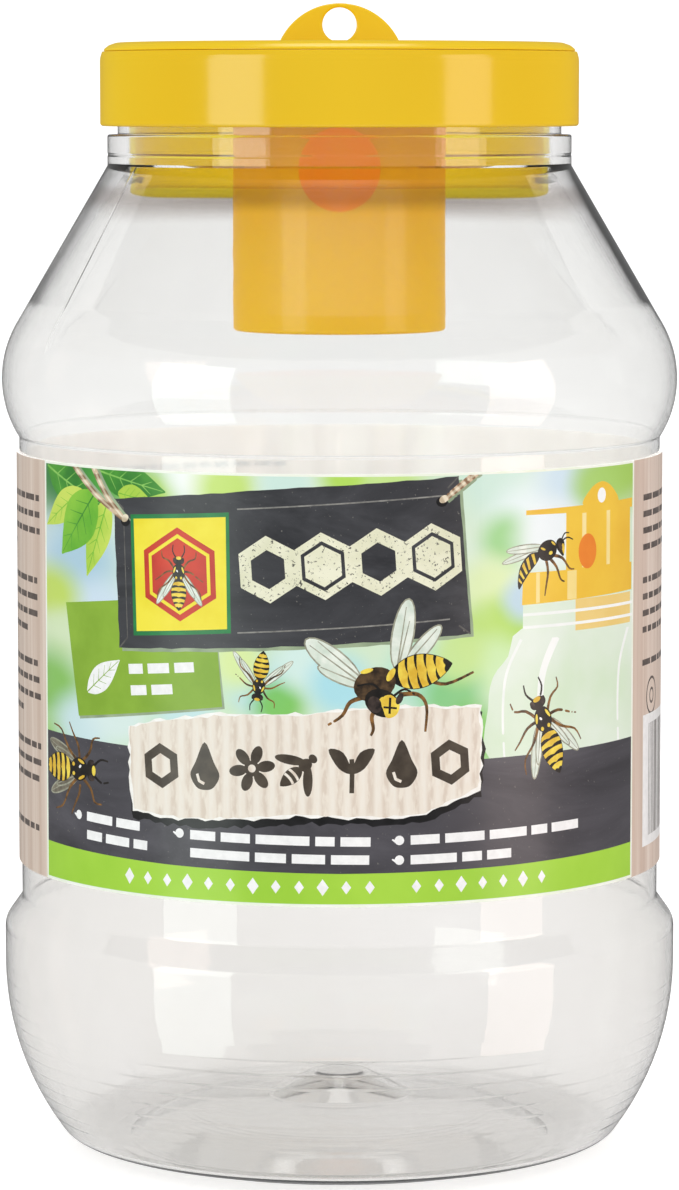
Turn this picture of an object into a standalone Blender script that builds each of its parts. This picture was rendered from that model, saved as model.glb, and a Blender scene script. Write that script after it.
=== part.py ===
"""Wasp trap: a clear screw-neck jar with a wrap label and a yellow screw lid.

The lid is a screw ring over a plug insert. An entry tube with one round hole slides up
through both of them, carrying a flat roof disc and a hanging eye. With the tube down the
trap is shut, and with the tube up the hole stands between the ring and the roof.

Lengths are in millimetres here and become metres when a mesh is made. The origin is the
centre of the base, +Z is up, and the front, with the entrance hole, faces -Y.
"""

import math

import bmesh
import bpy
from mathutils import Vector

MM = 0.001
SEGMENTS = 48
LARGE_FILLET = 3.0
LARGE_ARC_STEP = math.radians(15)
SMALL_ARC_STEP = math.radians(45)
GAP = 0.3

# Jar: a blown body with a bulge above and below the label panel.
BULGE_R = 52.9
PANEL_R = 50.2
WALL = 0.9
SHOULDER_CORNER_R = 55.7
SHOULDER_CORNER_Z = 120.5
SHOULDER_FILLET = 17.0
PANEL_TOP_Z = 111.7
PANEL_BOTTOM_Z = 39.2
LOWER_BULGE_Z = 35.4
SIDE_CORNER_Z = 14.9
SIDE_FILLET = 43.9
KNEE_R = 43.6
KNEE_Z = 1.95
FOOT_OUTER_R = 36.0
FOOT_INNER_R = 33.0
DOME_R = 21.0
DOME_Z = 4.6
NUB_R = 10.9
NUB_Z = 6.2
NUB_TOP_R = 4.4
NUB_TOP_Z = 9.6

# Neck: collar, thread wall and mouth.
COLLAR_R = 36.2
COLLAR_BOTTOM_Z = 153.9
COLLAR_TOP_Z = 158.7
NECK_R = 34.6
BORE_R = 33.1
MOUTH_Z = 168.7

# Screw thread shared by the neck and the ring: right-handed, one start.
LEAD = 4.2
THREAD_ROOT_WIDTH = 1.6
THREAD_CREST_WIDTH = 0.9
THREAD_BITE = 0.3
THREAD_STEPS = 40
NECK_THREAD_R = 35.6
NECK_THREAD_Z = 162.6
NECK_THREAD_TURNS = 1.0
RING_THREAD_R = 34.9
RING_THREAD_TURNS = 0.95
RING_THREAD_START = 0.2

# Label: a thin film wrapped right round the panel.
LABEL_GAP = 0.25
LABEL_THICKNESS = 0.2
LABEL_BOTTOM_Z = 45.3
LABEL_TOP_Z = 109.5

# Screw ring.
RING_R = 37.3
RING_INNER_R = 36.0
RING_BOTTOM_Z = 160.0
RING_TOP_Z = 171.5
RING_PLATE = 1.2
BEAD_REACH = 0.75
BEAD_Z = 168.5
BEAD_HALF = 0.35

# Plug insert: flange, plug skirt and guide collar.
FLANGE_R = 35.65
FLANGE_THICKNESS = 1.0
PLUG_R = 32.75
PLUG_WALL = 0.9
PLUG_BOTTOM_Z = 150.5
GUIDE_WALL = 1.1
GUIDE_BOTTOM_Z = 163.0

# Entry tube and its hole.
TUBE_R = 16.6
TUBE_WALL = 0.9
TUBE_BOTTOM_Z = 128.1
HOLE_R = 6.2
HOLE_Z = 153.7

# Roof disc with the spigot that holds it in the tube, and the hanging eye on top.
ROOF_R = 36.9
ROOF_TOP_Z = 172.9
ROOF_THICKNESS = 1.1
ROOF_EDGE = 0.9
SPIGOT_WALL = 1.2
SPIGOT_DEPTH = 2.0
EYE_TOP_Z = 179.0
EYE_ARC_R = 10.3
EYE_THICKNESS = 2.4
EYE_HOLE_R = 2.67
EYE_HOLE_Z = 175.7


def clear_scene():
    """Remove every object that is already in the file."""
    for obj in list(bpy.data.objects):
        bpy.data.objects.remove(obj, do_unlink=True)


def new_collection(name):
    """Make a collection under the scene's own."""
    collection = bpy.data.collections.new(name)
    bpy.context.scene.collection.children.link(collection)
    return collection


def material(name, colour, roughness, alpha=1.0):
    """A plain plastic with its colour, roughness and see-through share."""
    mat = bpy.data.materials.new(name)
    mat.use_nodes = True
    shader = mat.node_tree.nodes["Principled BSDF"]
    shader.inputs["Base Color"].default_value = (*colour, 1.0)
    shader.inputs["Roughness"].default_value = roughness
    shader.inputs["Metallic"].default_value = 0.0
    shader.inputs["Alpha"].default_value = alpha
    return mat


def filleted(corners, closed):
    """Outline points (r, z) of corners (r, z, fillet); every fillet becomes an arc."""
    points = []
    count = len(corners)
    for index, (r, z, fillet) in enumerate(corners):
        corner = Vector((r, z))
        at_end = not closed and index in (0, count - 1)
        if fillet == 0 or at_end:
            points.append(corner)
            continue
        back = (Vector(corners[index - 1][:2]) - corner).normalized()
        ahead = (Vector(corners[(index + 1) % count][:2]) - corner).normalized()
        half = back.angle(ahead) / 2
        centre = corner + (back + ahead).normalized() * (fillet / math.sin(half))
        first = corner + back * (fillet / math.tan(half)) - centre
        last = corner + ahead * (fillet / math.tan(half)) - centre
        start = math.atan2(first.y, first.x)
        turn = math.remainder(math.atan2(last.y, last.x) - start, 2 * math.pi)
        arc_step = LARGE_ARC_STEP if fillet >= LARGE_FILLET else SMALL_ARC_STEP
        steps = max(1, math.ceil(abs(turn) / arc_step - 0.01))
        for step in range(steps + 1):
            angle = start + turn * step / steps
            points.append(centre + Vector((math.cos(angle), math.sin(angle))) * fillet)
    return points


def line_crossing(point_a, along_a, point_b, along_b):
    """Where two lines in the (r, z) plane cross."""
    across = along_a.x * along_b.y - along_a.y * along_b.x
    gap = point_b - point_a
    reach = (gap.x * along_b.y - gap.y * along_b.x) / across
    return point_a + along_a * reach


def inside_offset(corners, distance):
    """The outline moved to the inside by a wall's thickness, corner by corner."""
    ends = [Vector(corner[:2]) for corner in corners]
    runs = [(b - a).normalized() for a, b in zip(ends, ends[1:])]
    shifts = [Vector((run.y, -run.x)) * distance for run in runs]
    moved = [(*(ends[0] + shifts[0]), 0)]
    for index in range(1, len(corners) - 1):
        here = line_crossing(ends[index] + shifts[index - 1], runs[index - 1],
                             ends[index] + shifts[index], runs[index])
        bend = runs[index - 1].x * runs[index].y - runs[index - 1].y * runs[index].x
        fillet = corners[index][2]
        if fillet:
            fillet = max(fillet - math.copysign(distance, -bend), WALL / 2)
        moved.append((*here, fillet))
    moved.append((*(ends[-1] + shifts[-1]), 0))
    return moved


def turned(name, points, collection, closed):
    """A solid of revolution about Z from outline points in millimetres."""
    mesh = bpy.data.meshes.new(name)
    count = len(points)
    edges = [(index, index + 1) for index in range(count - 1)]
    if closed:
        edges.append((count - 1, 0))
    mesh.from_pydata([(r * MM, 0.0, z * MM) for r, z in points], edges, [])
    obj = bpy.data.objects.new(name, mesh)
    collection.objects.link(obj)
    screw = obj.modifiers.new("Turn", "SCREW")
    screw.axis = "Z"
    screw.steps = SEGMENTS
    screw.render_steps = SEGMENTS
    screw.use_merge_vertices = True
    screw.merge_threshold = 0.00001
    screw.use_smooth_shade = True
    return obj


def settle(obj):
    """Replace an object by the mesh that its modifiers make, and return the new object."""
    graph = bpy.context.evaluated_depsgraph_get()
    mesh = bpy.data.meshes.new_from_object(obj.evaluated_get(graph))
    name = obj.name
    collection = obj.users_collection[0]
    place = obj.matrix_world.copy()
    bpy.data.objects.remove(obj, do_unlink=True)
    settled = bpy.data.objects.new(name, mesh)
    settled.matrix_world = place
    collection.objects.link(settled)
    return settled


def cap_and_face_out(obj):
    """Close a mesh's open ends and turn its faces outwards."""
    cage = bmesh.new()
    cage.from_mesh(obj.data)
    bmesh.ops.remove_doubles(cage, verts=cage.verts, dist=0.000001)
    rims = [edge for edge in cage.edges if edge.is_boundary]
    bmesh.ops.holes_fill(cage, edges=rims, sides=0)
    bmesh.ops.recalc_face_normals(cage, faces=cage.faces)
    cage.to_mesh(obj.data)
    cage.free()


def thread_ridge(name, root_r, crest_r, start_z, turns, cutters):
    """A helical ridge from root_r to crest_r that climbs LEAD in each turn."""
    mesh = bpy.data.meshes.new(name)
    root = THREAD_ROOT_WIDTH / 2
    crest = THREAD_CREST_WIDTH / 2
    section = [(root_r, root), (crest_r, crest), (crest_r, -crest), (root_r, -root)]
    mesh.from_pydata([(r * MM, 0.0, (start_z + z) * MM) for r, z in section],
                     [(0, 1), (1, 2), (2, 3), (3, 0)], [])
    ridge = bpy.data.objects.new(name, mesh)
    cutters.objects.link(ridge)
    screw = ridge.modifiers.new("Climb", "SCREW")
    screw.axis = "Z"
    screw.angle = turns * 2 * math.pi
    screw.screw_offset = turns * LEAD * MM
    screw.steps = round(THREAD_STEPS * turns)
    screw.render_steps = screw.steps
    ridge = settle(ridge)
    cap_and_face_out(ridge)
    return ridge


def combine(target, tool, operation):
    """Join or cut a target with a tool that stays in the file as a guide."""
    boolean = target.modifiers.new(operation.title(), "BOOLEAN")
    boolean.operation = operation
    boolean.solver = "EXACT"
    boolean.object = tool
    tool.hide_render = True
    tool.display_type = "WIRE"


def finish(obj, mat):
    """Settle a part, shade its round faces smooth and give it its material."""
    obj = settle(obj)
    obj.data.shade_smooth()
    obj.data.set_sharp_from_angle(angle=math.radians(35))
    obj.data.materials.clear()
    obj.data.materials.append(mat)
    return obj


def body_outline():
    """The jar's outside below the collar, from the shoulder down to the centre of the base."""
    return [
        (COLLAR_R, COLLAR_BOTTOM_Z, 0),
        (SHOULDER_CORNER_R, SHOULDER_CORNER_Z, SHOULDER_FILLET),
        (PANEL_R, PANEL_TOP_Z, 0.6),
        (PANEL_R, PANEL_BOTTOM_Z, 1.0),
        (BULGE_R, LOWER_BULGE_Z, 3.0),
        (BULGE_R, SIDE_CORNER_Z, SIDE_FILLET),
        (KNEE_R, KNEE_Z, 3.0),
        (FOOT_OUTER_R, 0.0, 1.0),
        (FOOT_INNER_R, 0.0, 1.0),
        (DOME_R, DOME_Z, 30.0),
        (NUB_R, NUB_Z, 0.5),
        (NUB_TOP_R, NUB_TOP_Z, 1.0),
        (0.0, NUB_TOP_Z, 0),
    ]


def jar(collection, cutters):
    """Clear jar: an even wall in the body, a thick neck with a collar and a thread."""
    outside = body_outline()
    inside = inside_offset(outside, WALL)
    inside[-1] = (0.0, inside[-2][1], 0)
    shoulder = Vector(inside[1][:2]) - Vector(inside[0][:2])
    bore_end = line_crossing(Vector(inside[0][:2]), shoulder,
                             Vector((BORE_R, 0.0)), Vector((0.0, 1.0)))
    inside[0] = (*bore_end, 3.0)
    neck = [
        (BORE_R, MOUTH_Z, 0.4),
        (NECK_R, MOUTH_Z, 0.4),
        (NECK_R, COLLAR_TOP_Z, 0),
        (COLLAR_R, COLLAR_TOP_Z, 0.3),
    ]
    outline = filleted(list(reversed(inside)) + neck + outside, closed=False)
    obj = turned("jar", outline, collection, closed=False)
    ridge = thread_ridge("neck_thread", NECK_R - THREAD_BITE, NECK_THREAD_R,
                         NECK_THREAD_Z, NECK_THREAD_TURNS, cutters)
    combine(obj, ridge, "UNION")
    return finish(obj, material("clear_pet", (0.86, 0.88, 0.88), 0.06, alpha=0.3))


def label(collection):
    """Printed film wrapped right round the label panel."""
    inner = PANEL_R + LABEL_GAP
    outer = inner + LABEL_THICKNESS
    corners = [
        (outer, LABEL_TOP_Z, 0),
        (outer, LABEL_BOTTOM_Z, 0),
        (inner, LABEL_BOTTOM_Z, 0),
        (inner, LABEL_TOP_Z, 0),
    ]
    obj = turned("label", filleted(corners, closed=True), collection, closed=True)
    return finish(obj, material("label_print", (0.30, 0.48, 0.12), 0.35))


def screw_ring(collection, cutters):
    """Yellow ring: top plate, smooth skirt, inside thread and the bead under the flange."""
    plate_z = RING_TOP_Z - RING_PLATE
    hole_r = TUBE_R + GAP
    bead_r = RING_INNER_R - BEAD_REACH
    corners = [
        (RING_R, RING_TOP_Z, 1.3),
        (RING_R, RING_BOTTOM_Z, 0.4),
        (RING_INNER_R, RING_BOTTOM_Z, 0.3),
        (RING_INNER_R, BEAD_Z - 2 * BEAD_HALF, 0),
        (bead_r, BEAD_Z - BEAD_HALF, 0),
        (bead_r, BEAD_Z, 0),
        (RING_INNER_R, BEAD_Z + BEAD_HALF, 0),
        (RING_INNER_R, plate_z, 0),
        (hole_r, plate_z, 0),
        (hole_r, RING_TOP_Z, 0),
    ]
    obj = turned("screw_ring", filleted(corners, closed=True), collection, closed=True)
    ridge = thread_ridge("ring_thread", RING_INNER_R + THREAD_BITE, RING_THREAD_R,
                         NECK_THREAD_Z - LEAD / 2 + LEAD * RING_THREAD_START,
                         RING_THREAD_TURNS, cutters)
    ridge.rotation_euler.z = RING_THREAD_START * 2 * math.pi
    combine(obj, ridge, "UNION")
    return finish(obj, material("lid_yellow", (0.83, 0.55, 0.03), 0.28))


def plug_insert(collection):
    """Yellow plug: a flange on the mouth, a skirt in the bore and a collar round the tube."""
    flange_bottom = MOUTH_Z + GAP
    flange_top = flange_bottom + FLANGE_THICKNESS
    guide_r = TUBE_R + GAP
    skirt_inner = PLUG_R - PLUG_WALL
    corners = [
        (FLANGE_R, flange_top, 0.2),
        (FLANGE_R, flange_bottom, 0.2),
        (PLUG_R, flange_bottom, 0),
        (PLUG_R, PLUG_BOTTOM_Z, 0.4),
        (skirt_inner, PLUG_BOTTOM_Z, 0.3),
        (skirt_inner, flange_bottom, 0.6),
        (guide_r + GUIDE_WALL, flange_bottom, 0.6),
        (guide_r + GUIDE_WALL, GUIDE_BOTTOM_Z, 0.3),
        (guide_r, GUIDE_BOTTOM_Z, 0.3),
        (guide_r, flange_top, 0),
    ]
    obj = turned("plug_insert", filleted(corners, closed=True), collection, closed=True)
    return finish(obj, material("insert_yellow", (0.80, 0.50, 0.04), 0.30))


def entry_tube(collection, cutters):
    """Yellow tube that slides in the insert, with the wasps' entrance hole in its front."""
    inner = TUBE_R - TUBE_WALL
    top_z = ROOF_TOP_Z - ROOF_THICKNESS - GAP
    corners = [
        (TUBE_R, top_z, 0),
        (TUBE_R, TUBE_BOTTOM_Z, 0.4),
        (inner, TUBE_BOTTOM_Z, 0.3),
        (inner, top_z, 0),
    ]
    obj = turned("entry_tube", filleted(corners, closed=True), collection, closed=True)
    bpy.ops.mesh.primitive_cylinder_add(
        vertices=32, radius=HOLE_R * MM, depth=TUBE_R * MM,
        location=(0.0, -TUBE_R * MM, HOLE_Z * MM), rotation=(math.pi / 2, 0.0, 0.0))
    cutter = bpy.context.object
    cutter.name = "entrance_cutter"
    for owner in list(cutter.users_collection):
        owner.objects.unlink(cutter)
    cutters.objects.link(cutter)
    combine(obj, cutter, "DIFFERENCE")
    return finish(obj, material("tower_yellow", (0.80, 0.46, 0.03), 0.25))


def roof_disc(collection):
    """Flat yellow roof with a rounded rim and a spigot ring that plugs into the tube."""
    under = ROOF_TOP_Z - ROOF_THICKNESS
    spigot_r = TUBE_R - TUBE_WALL - GAP
    corners = [
        (0.0, ROOF_TOP_Z, 0),
        (ROOF_R, ROOF_TOP_Z, ROOF_EDGE),
        (ROOF_R, under, 0),
        (spigot_r, under, 0),
        (spigot_r, under - SPIGOT_DEPTH, 0.3),
        (spigot_r - SPIGOT_WALL, under - SPIGOT_DEPTH, 0.3),
        (spigot_r - SPIGOT_WALL, under, 0),
        (0.0, under, 0),
    ]
    obj = turned("roof_disc", filleted(corners, closed=False), collection, closed=False)
    return finish(obj, material("roof_yellow", (0.83, 0.55, 0.03), 0.28))


def arc_points(radius, height, count):
    """Points of the part of a circle above the ground line, from right to left.

    The circle's centre is height above that line, or below it where height is negative.
    """
    start = -math.asin(height / radius)
    sweep = math.pi - 2 * start
    return [(radius * math.cos(start + sweep * step / count),
             height + radius * math.sin(start + sweep * step / count))
            for step in range(count + 1)]


def hanging_eye(collection):
    """Flat eye on the roof: a low arch whose round hole reaches down to the roof."""
    base_z = ROOF_TOP_Z + GAP
    outer = arc_points(EYE_ARC_R, EYE_TOP_Z - EYE_ARC_R - base_z, 20)
    hole = arc_points(EYE_HOLE_R, EYE_HOLE_Z - base_z, 20)
    outline = outer + list(reversed(hole))
    curve = bpy.data.curves.new("hanging_eye", "CURVE")
    curve.dimensions = "2D"
    curve.fill_mode = "BOTH"
    curve.extrude = EYE_THICKNESS * MM / 2
    spline = curve.splines.new("POLY")
    spline.points.add(len(outline) - 1)
    for point, (x, height) in zip(spline.points, outline):
        point.co = (x * MM, height * MM, 0.0, 1.0)
    spline.use_cyclic_u = True
    obj = bpy.data.objects.new("hanging_eye", curve)
    collection.objects.link(obj)
    obj.location = (0.0, 0.0, base_z * MM)
    obj.rotation_euler = (math.pi / 2, 0.0, 0.0)
    bpy.context.view_layer.update()
    obj = settle(obj)
    cap_and_face_out(obj)
    return finish(obj, material("eye_yellow", (0.83, 0.55, 0.03), 0.28))


def axis_empty(name, z, collection, parent=None):
    """An empty on the trap's axis that carries one moving group."""
    empty = bpy.data.objects.new(name, None)
    empty.empty_display_size = 10 * MM
    empty.parent = parent
    empty.location = (0.0, 0.0, z * MM)
    collection.objects.link(empty)
    return empty


def carry(empty, objects):
    """Parent objects to an empty without moving them."""
    bpy.context.view_layer.update()
    for obj in objects:
        obj.parent = empty
        obj.matrix_parent_inverse = empty.matrix_world.inverted()


def main():
    """Build the trap in its shut state."""
    clear_scene()
    parts = new_collection("wasp_trap")
    cutters = new_collection("cutters")
    jar(parts, cutters)
    label(parts)
    lid_lift = axis_empty("lid_lift", MOUTH_Z, parts)
    lid_turn = axis_empty("lid_turn", 0.0, parts, parent=lid_lift)
    tower_slide = axis_empty("tower_slide", 0.0, parts, parent=lid_lift)
    carry(lid_lift, [plug_insert(parts)])
    carry(lid_turn, [screw_ring(parts, cutters)])
    carry(tower_slide, [entry_tube(parts, cutters), roof_disc(parts), hanging_eye(parts)])


main()
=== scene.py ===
"""Looks of the wasp trap: clear jar, printed label, yellow screw lid and entry tower.

Lengths are in millimetres here and become metres when a mesh is made. The origin is the
centre of the base, +Z is up, and the front of the label faces -Y.
"""

import math
import random

import bmesh
import bpy
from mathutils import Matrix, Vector
from mathutils.geometry import delaunay_2d_cdt


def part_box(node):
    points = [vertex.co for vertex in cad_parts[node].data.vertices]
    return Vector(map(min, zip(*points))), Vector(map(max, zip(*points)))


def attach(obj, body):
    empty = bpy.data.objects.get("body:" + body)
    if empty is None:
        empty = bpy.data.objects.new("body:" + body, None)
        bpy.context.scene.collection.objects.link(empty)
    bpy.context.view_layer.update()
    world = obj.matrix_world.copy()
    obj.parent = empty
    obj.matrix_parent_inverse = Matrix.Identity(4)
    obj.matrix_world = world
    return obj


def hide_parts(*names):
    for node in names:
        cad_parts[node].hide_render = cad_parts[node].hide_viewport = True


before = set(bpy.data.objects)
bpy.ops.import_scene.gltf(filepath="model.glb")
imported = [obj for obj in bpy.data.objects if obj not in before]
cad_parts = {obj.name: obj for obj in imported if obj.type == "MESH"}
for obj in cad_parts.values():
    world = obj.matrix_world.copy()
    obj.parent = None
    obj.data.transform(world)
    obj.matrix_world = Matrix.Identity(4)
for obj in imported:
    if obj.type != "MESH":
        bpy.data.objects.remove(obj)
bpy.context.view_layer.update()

MM = 0.001
TURN = 2 * math.pi
ROUND = 192
ON_AXIS = 0.0001


def node_box(node):
    """A CAD node's lowest and highest corner in millimetres."""
    low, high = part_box(node)
    return low / MM, high / MM


_, JAR_HIGH = node_box("jar")
LABEL_LOW, LABEL_HIGH = node_box("label")
RING_LOW, RING_HIGH = node_box("screw_ring")
PLUG_LOW, PLUG_HIGH = node_box("plug_insert")
TUBE_LOW, TUBE_HIGH = node_box("entry_tube")
ROOF_LOW, ROOF_HIGH = node_box("roof_disc")
EYE_LOW, EYE_HIGH = node_box("hanging_eye")

# Jar, from the same design as its CAD solid.
BULGE_R = JAR_HIGH.x
PANEL_R = 50.2
SHOULDER_R = 55.7
SHOULDER_Z = 120.5
WALL = 0.9
MOUTH_Z = JAR_HIGH.z
COLLAR_R = 36.2
COLLAR_BOTTOM_Z = 153.9
COLLAR_TOP_Z = 158.7
NECK_R = 34.6
BORE_R = 33.1
THREAD_Z = 162.6
LEAD = 4.2
SLIDE_GAP = 0.3
SEAM_AZIMUTH = math.radians(-59)

# Label.
LABEL_R = LABEL_HIGH.x
LABEL_THICKNESS = 0.2
LABEL_BOTTOM = LABEL_LOW.z
LABEL_HEIGHT = LABEL_HIGH.z - LABEL_LOW.z
LABEL_REACH = math.pi * LABEL_R - 0.15
OVERLAP = 8.0
STRIP = math.radians(1.5) * LABEL_R
ART_REACH = 54.6
WELD = 0.004

# Entrance hole, from the design.
HOLE_R = 6.2
HOLE_Z = 153.7


# ---------------------------------------------------------------- mesh helpers

def filleted(corners, closed):
    """Outline points (r, z) of corners (r, z, fillet); every fillet becomes an arc."""
    points = []
    count = len(corners)
    for index, (r, z, fillet) in enumerate(corners):
        corner = Vector((r, z))
        at_end = not closed and index in (0, count - 1)
        if fillet == 0 or at_end:
            points.append(corner)
            continue
        back = (Vector(corners[index - 1][:2]) - corner).normalized()
        ahead = (Vector(corners[(index + 1) % count][:2]) - corner).normalized()
        half = back.angle(ahead) / 2
        centre = corner + (back + ahead).normalized() * (fillet / math.sin(half))
        first = corner + back * (fillet / math.tan(half)) - centre
        last = corner + ahead * (fillet / math.tan(half)) - centre
        start = math.atan2(first.y, first.x)
        turn = math.remainder(math.atan2(last.y, last.x) - start, TURN)
        finest = math.radians(3.0 if fillet > 10.0 else 11.0)
        steps = max(2, math.ceil(abs(turn) / finest))
        for step in range(steps + 1):
            angle = start + turn * step / steps
            points.append(centre + Vector((math.cos(angle), math.sin(angle))) * fillet)
    return points


def supported(outline, closed, margin=0.12):
    """The outline with a point close to each end of every long straight run.

    Shading then stays flat along the run instead of bending towards its rounded ends.
    """
    points = []
    count = len(outline)
    for index, here in enumerate(outline):
        points.append(here)
        if index == count - 1 and not closed:
            break
        along = outline[(index + 1) % count] - here
        if along.length > 8 * margin:
            points.append(here + along.normalized() * margin)
            points.append(here + along - along.normalized() * margin)
    return points


def line_crossing(point_a, along_a, point_b, along_b):
    """Where two lines in the (r, z) plane cross."""
    across = along_a.x * along_b.y - along_a.y * along_b.x
    gap = point_b - point_a
    return point_a + along_a * ((gap.x * along_b.y - gap.y * along_b.x) / across)


def inside_offset(corners, distance):
    """The outline moved to the inside by a wall's thickness, corner by corner."""
    ends = [Vector(corner[:2]) for corner in corners]
    runs = [(b - a).normalized() for a, b in zip(ends, ends[1:])]
    shifts = [Vector((run.y, -run.x)) * distance for run in runs]
    moved = [(*(ends[0] + shifts[0]), 0)]
    for index in range(1, len(corners) - 1):
        here = line_crossing(ends[index] + shifts[index - 1], runs[index - 1],
                             ends[index] + shifts[index], runs[index])
        bend = runs[index - 1].x * runs[index].y - runs[index - 1].y * runs[index].x
        fillet = corners[index][2]
        if fillet:
            fillet = max(fillet - math.copysign(distance, -bend), distance / 2)
        moved.append((*here, fillet))
    moved.append((*(ends[-1] + shifts[-1]), 0))
    return moved


def add_object(name, data):
    """Link a mesh, curve, camera or lamp as an object of the scene."""
    obj = bpy.data.objects.new(name, data)
    bpy.context.scene.collection.objects.link(obj)
    return obj


def add_mesh(name, verts, faces):
    """An object with a new mesh."""
    mesh = bpy.data.meshes.new(name)
    mesh.from_pydata(verts, [], faces)
    return add_object(name, mesh)


def edit_mesh(mesh, edit):
    """Change a mesh through a function that works on its bmesh."""
    shell = bmesh.new()
    shell.from_mesh(mesh)
    edit(shell)
    shell.to_mesh(mesh)
    shell.free()


def turned(r, z, angle):
    """A point in metres at a radius, a height and an azimuth from +X."""
    return (r * math.cos(angle) * MM, r * math.sin(angle) * MM, z * MM)


def smooth(obj, sharp_degrees=28):
    """Shade an object smooth, with its real edges kept sharp."""
    obj.data.shade_smooth()
    obj.data.set_sharp_from_angle(angle=math.radians(sharp_degrees))


def even_angles(count=ROUND):
    """Azimuths that divide a full turn evenly, starting at the front."""
    return [TURN * index / count - math.pi / 2 for index in range(count)]


def lathe(name, outline, closed, angles=None, swell=None):
    """A turned solid. swell(r, z, angle) may add to the radius in millimetres."""
    angles = angles or even_angles()
    verts = []
    rings = []
    for r, z in supported(outline, closed):
        if r < ON_AXIS:
            rings.append([len(verts)] * len(angles))
            verts.append((0.0, 0.0, z * MM))
            continue
        rings.append(range(len(verts), len(verts) + len(angles)))
        verts += [turned(r + (swell(r, z, angle) if swell else 0.0), z, angle) for angle in angles]
    faces = []
    for span in range(len(rings) if closed else len(rings) - 1):
        upper = rings[span]
        lower = rings[(span + 1) % len(rings)]
        for step in range(len(angles)):
            after = (step + 1) % len(angles)
            face = list(dict.fromkeys([upper[step], lower[step], lower[after], upper[after]]))
            if len(face) > 2:
                faces.append(face)
    obj = add_mesh(name, verts, faces)
    smooth(obj)
    return obj


def apply_modifiers(obj):
    """Turn an object's modifiers into mesh."""
    graph = bpy.context.evaluated_depsgraph_get()
    mesh = bpy.data.meshes.new_from_object(obj.evaluated_get(graph))
    obj.modifiers.clear()
    obj.data = mesh


def combine(target, tool, operation):
    """Join or cut a target with a tool and remove the tool."""
    boolean = target.modifiers.new(operation, "BOOLEAN")
    boolean.operation = operation
    boolean.solver = "EXACT"
    boolean.object = tool
    apply_modifiers(target)
    bpy.data.objects.remove(tool, do_unlink=True)


def dress(obj, *materials):
    """Give an object its materials, in slot order."""
    slots = [face.material_index for face in obj.data.polygons]
    obj.data.materials.clear()
    for mat in materials:
        obj.data.materials.append(mat)
    obj.data.polygons.foreach_set("material_index", slots)


# ------------------------------------------------------------ material helpers

BLACK = (0.0, 0.0, 0.0, 1.0)
WHITE = (1.0, 1.0, 1.0, 1.0)


def srgb(red, green, blue):
    """Linear colour of an 8-bit screen colour."""
    def linear(value):
        share = value / 255
        return share / 12.92 if share <= 0.04045 else ((share + 0.055) / 1.055) ** 2.4
    return (linear(red), linear(green), linear(blue), 1.0)


class Tree:
    """The node tree of a material or a world under construction."""

    def __init__(self, owner):
        owner.use_nodes = True
        self.nodes = owner.node_tree.nodes
        self.links = owner.node_tree.links

    def fill(self, node, **sockets):
        """Link or set a node's inputs; their names have _ in place of each space."""
        for name, value in sockets.items():
            socket = node.inputs[name.replace("_", " ")]
            if isinstance(value, bpy.types.NodeSocket):
                self.links.new(value, socket)
            else:
                socket.default_value = value
        return node

    def node(self, kind, **sockets):
        """Add a shader node and fill its inputs."""
        return self.fill(self.nodes.new("ShaderNode" + kind), **sockets)

    def ramp(self, value, stops, ease="LINEAR"):
        """Colours along a value: stops are (position, colour)."""
        node = self.node("ValToRGB", Fac=value)
        node.color_ramp.interpolation = ease
        elements = node.color_ramp.elements
        while len(elements) < len(stops):
            elements.new(0.5)
        for element, (position, colour) in zip(elements, stops):
            element.position = position
            element.color = colour
        return node.outputs["Color"]

    def mix(self, share, first, second):
        """Mix two colours, each a socket or a fixed colour, by a 0 to 1 value."""
        node = self.node("Mix", Factor=share)
        node.data_type = "RGBA"
        colours = [socket for socket in node.inputs if socket.type == "RGBA"]
        for socket, colour in zip(colours, (first, second)):
            if isinstance(colour, tuple):
                socket.default_value = colour
            else:
                self.links.new(colour, socket)
        return next(s for s in node.outputs if s.type == "RGBA")


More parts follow.
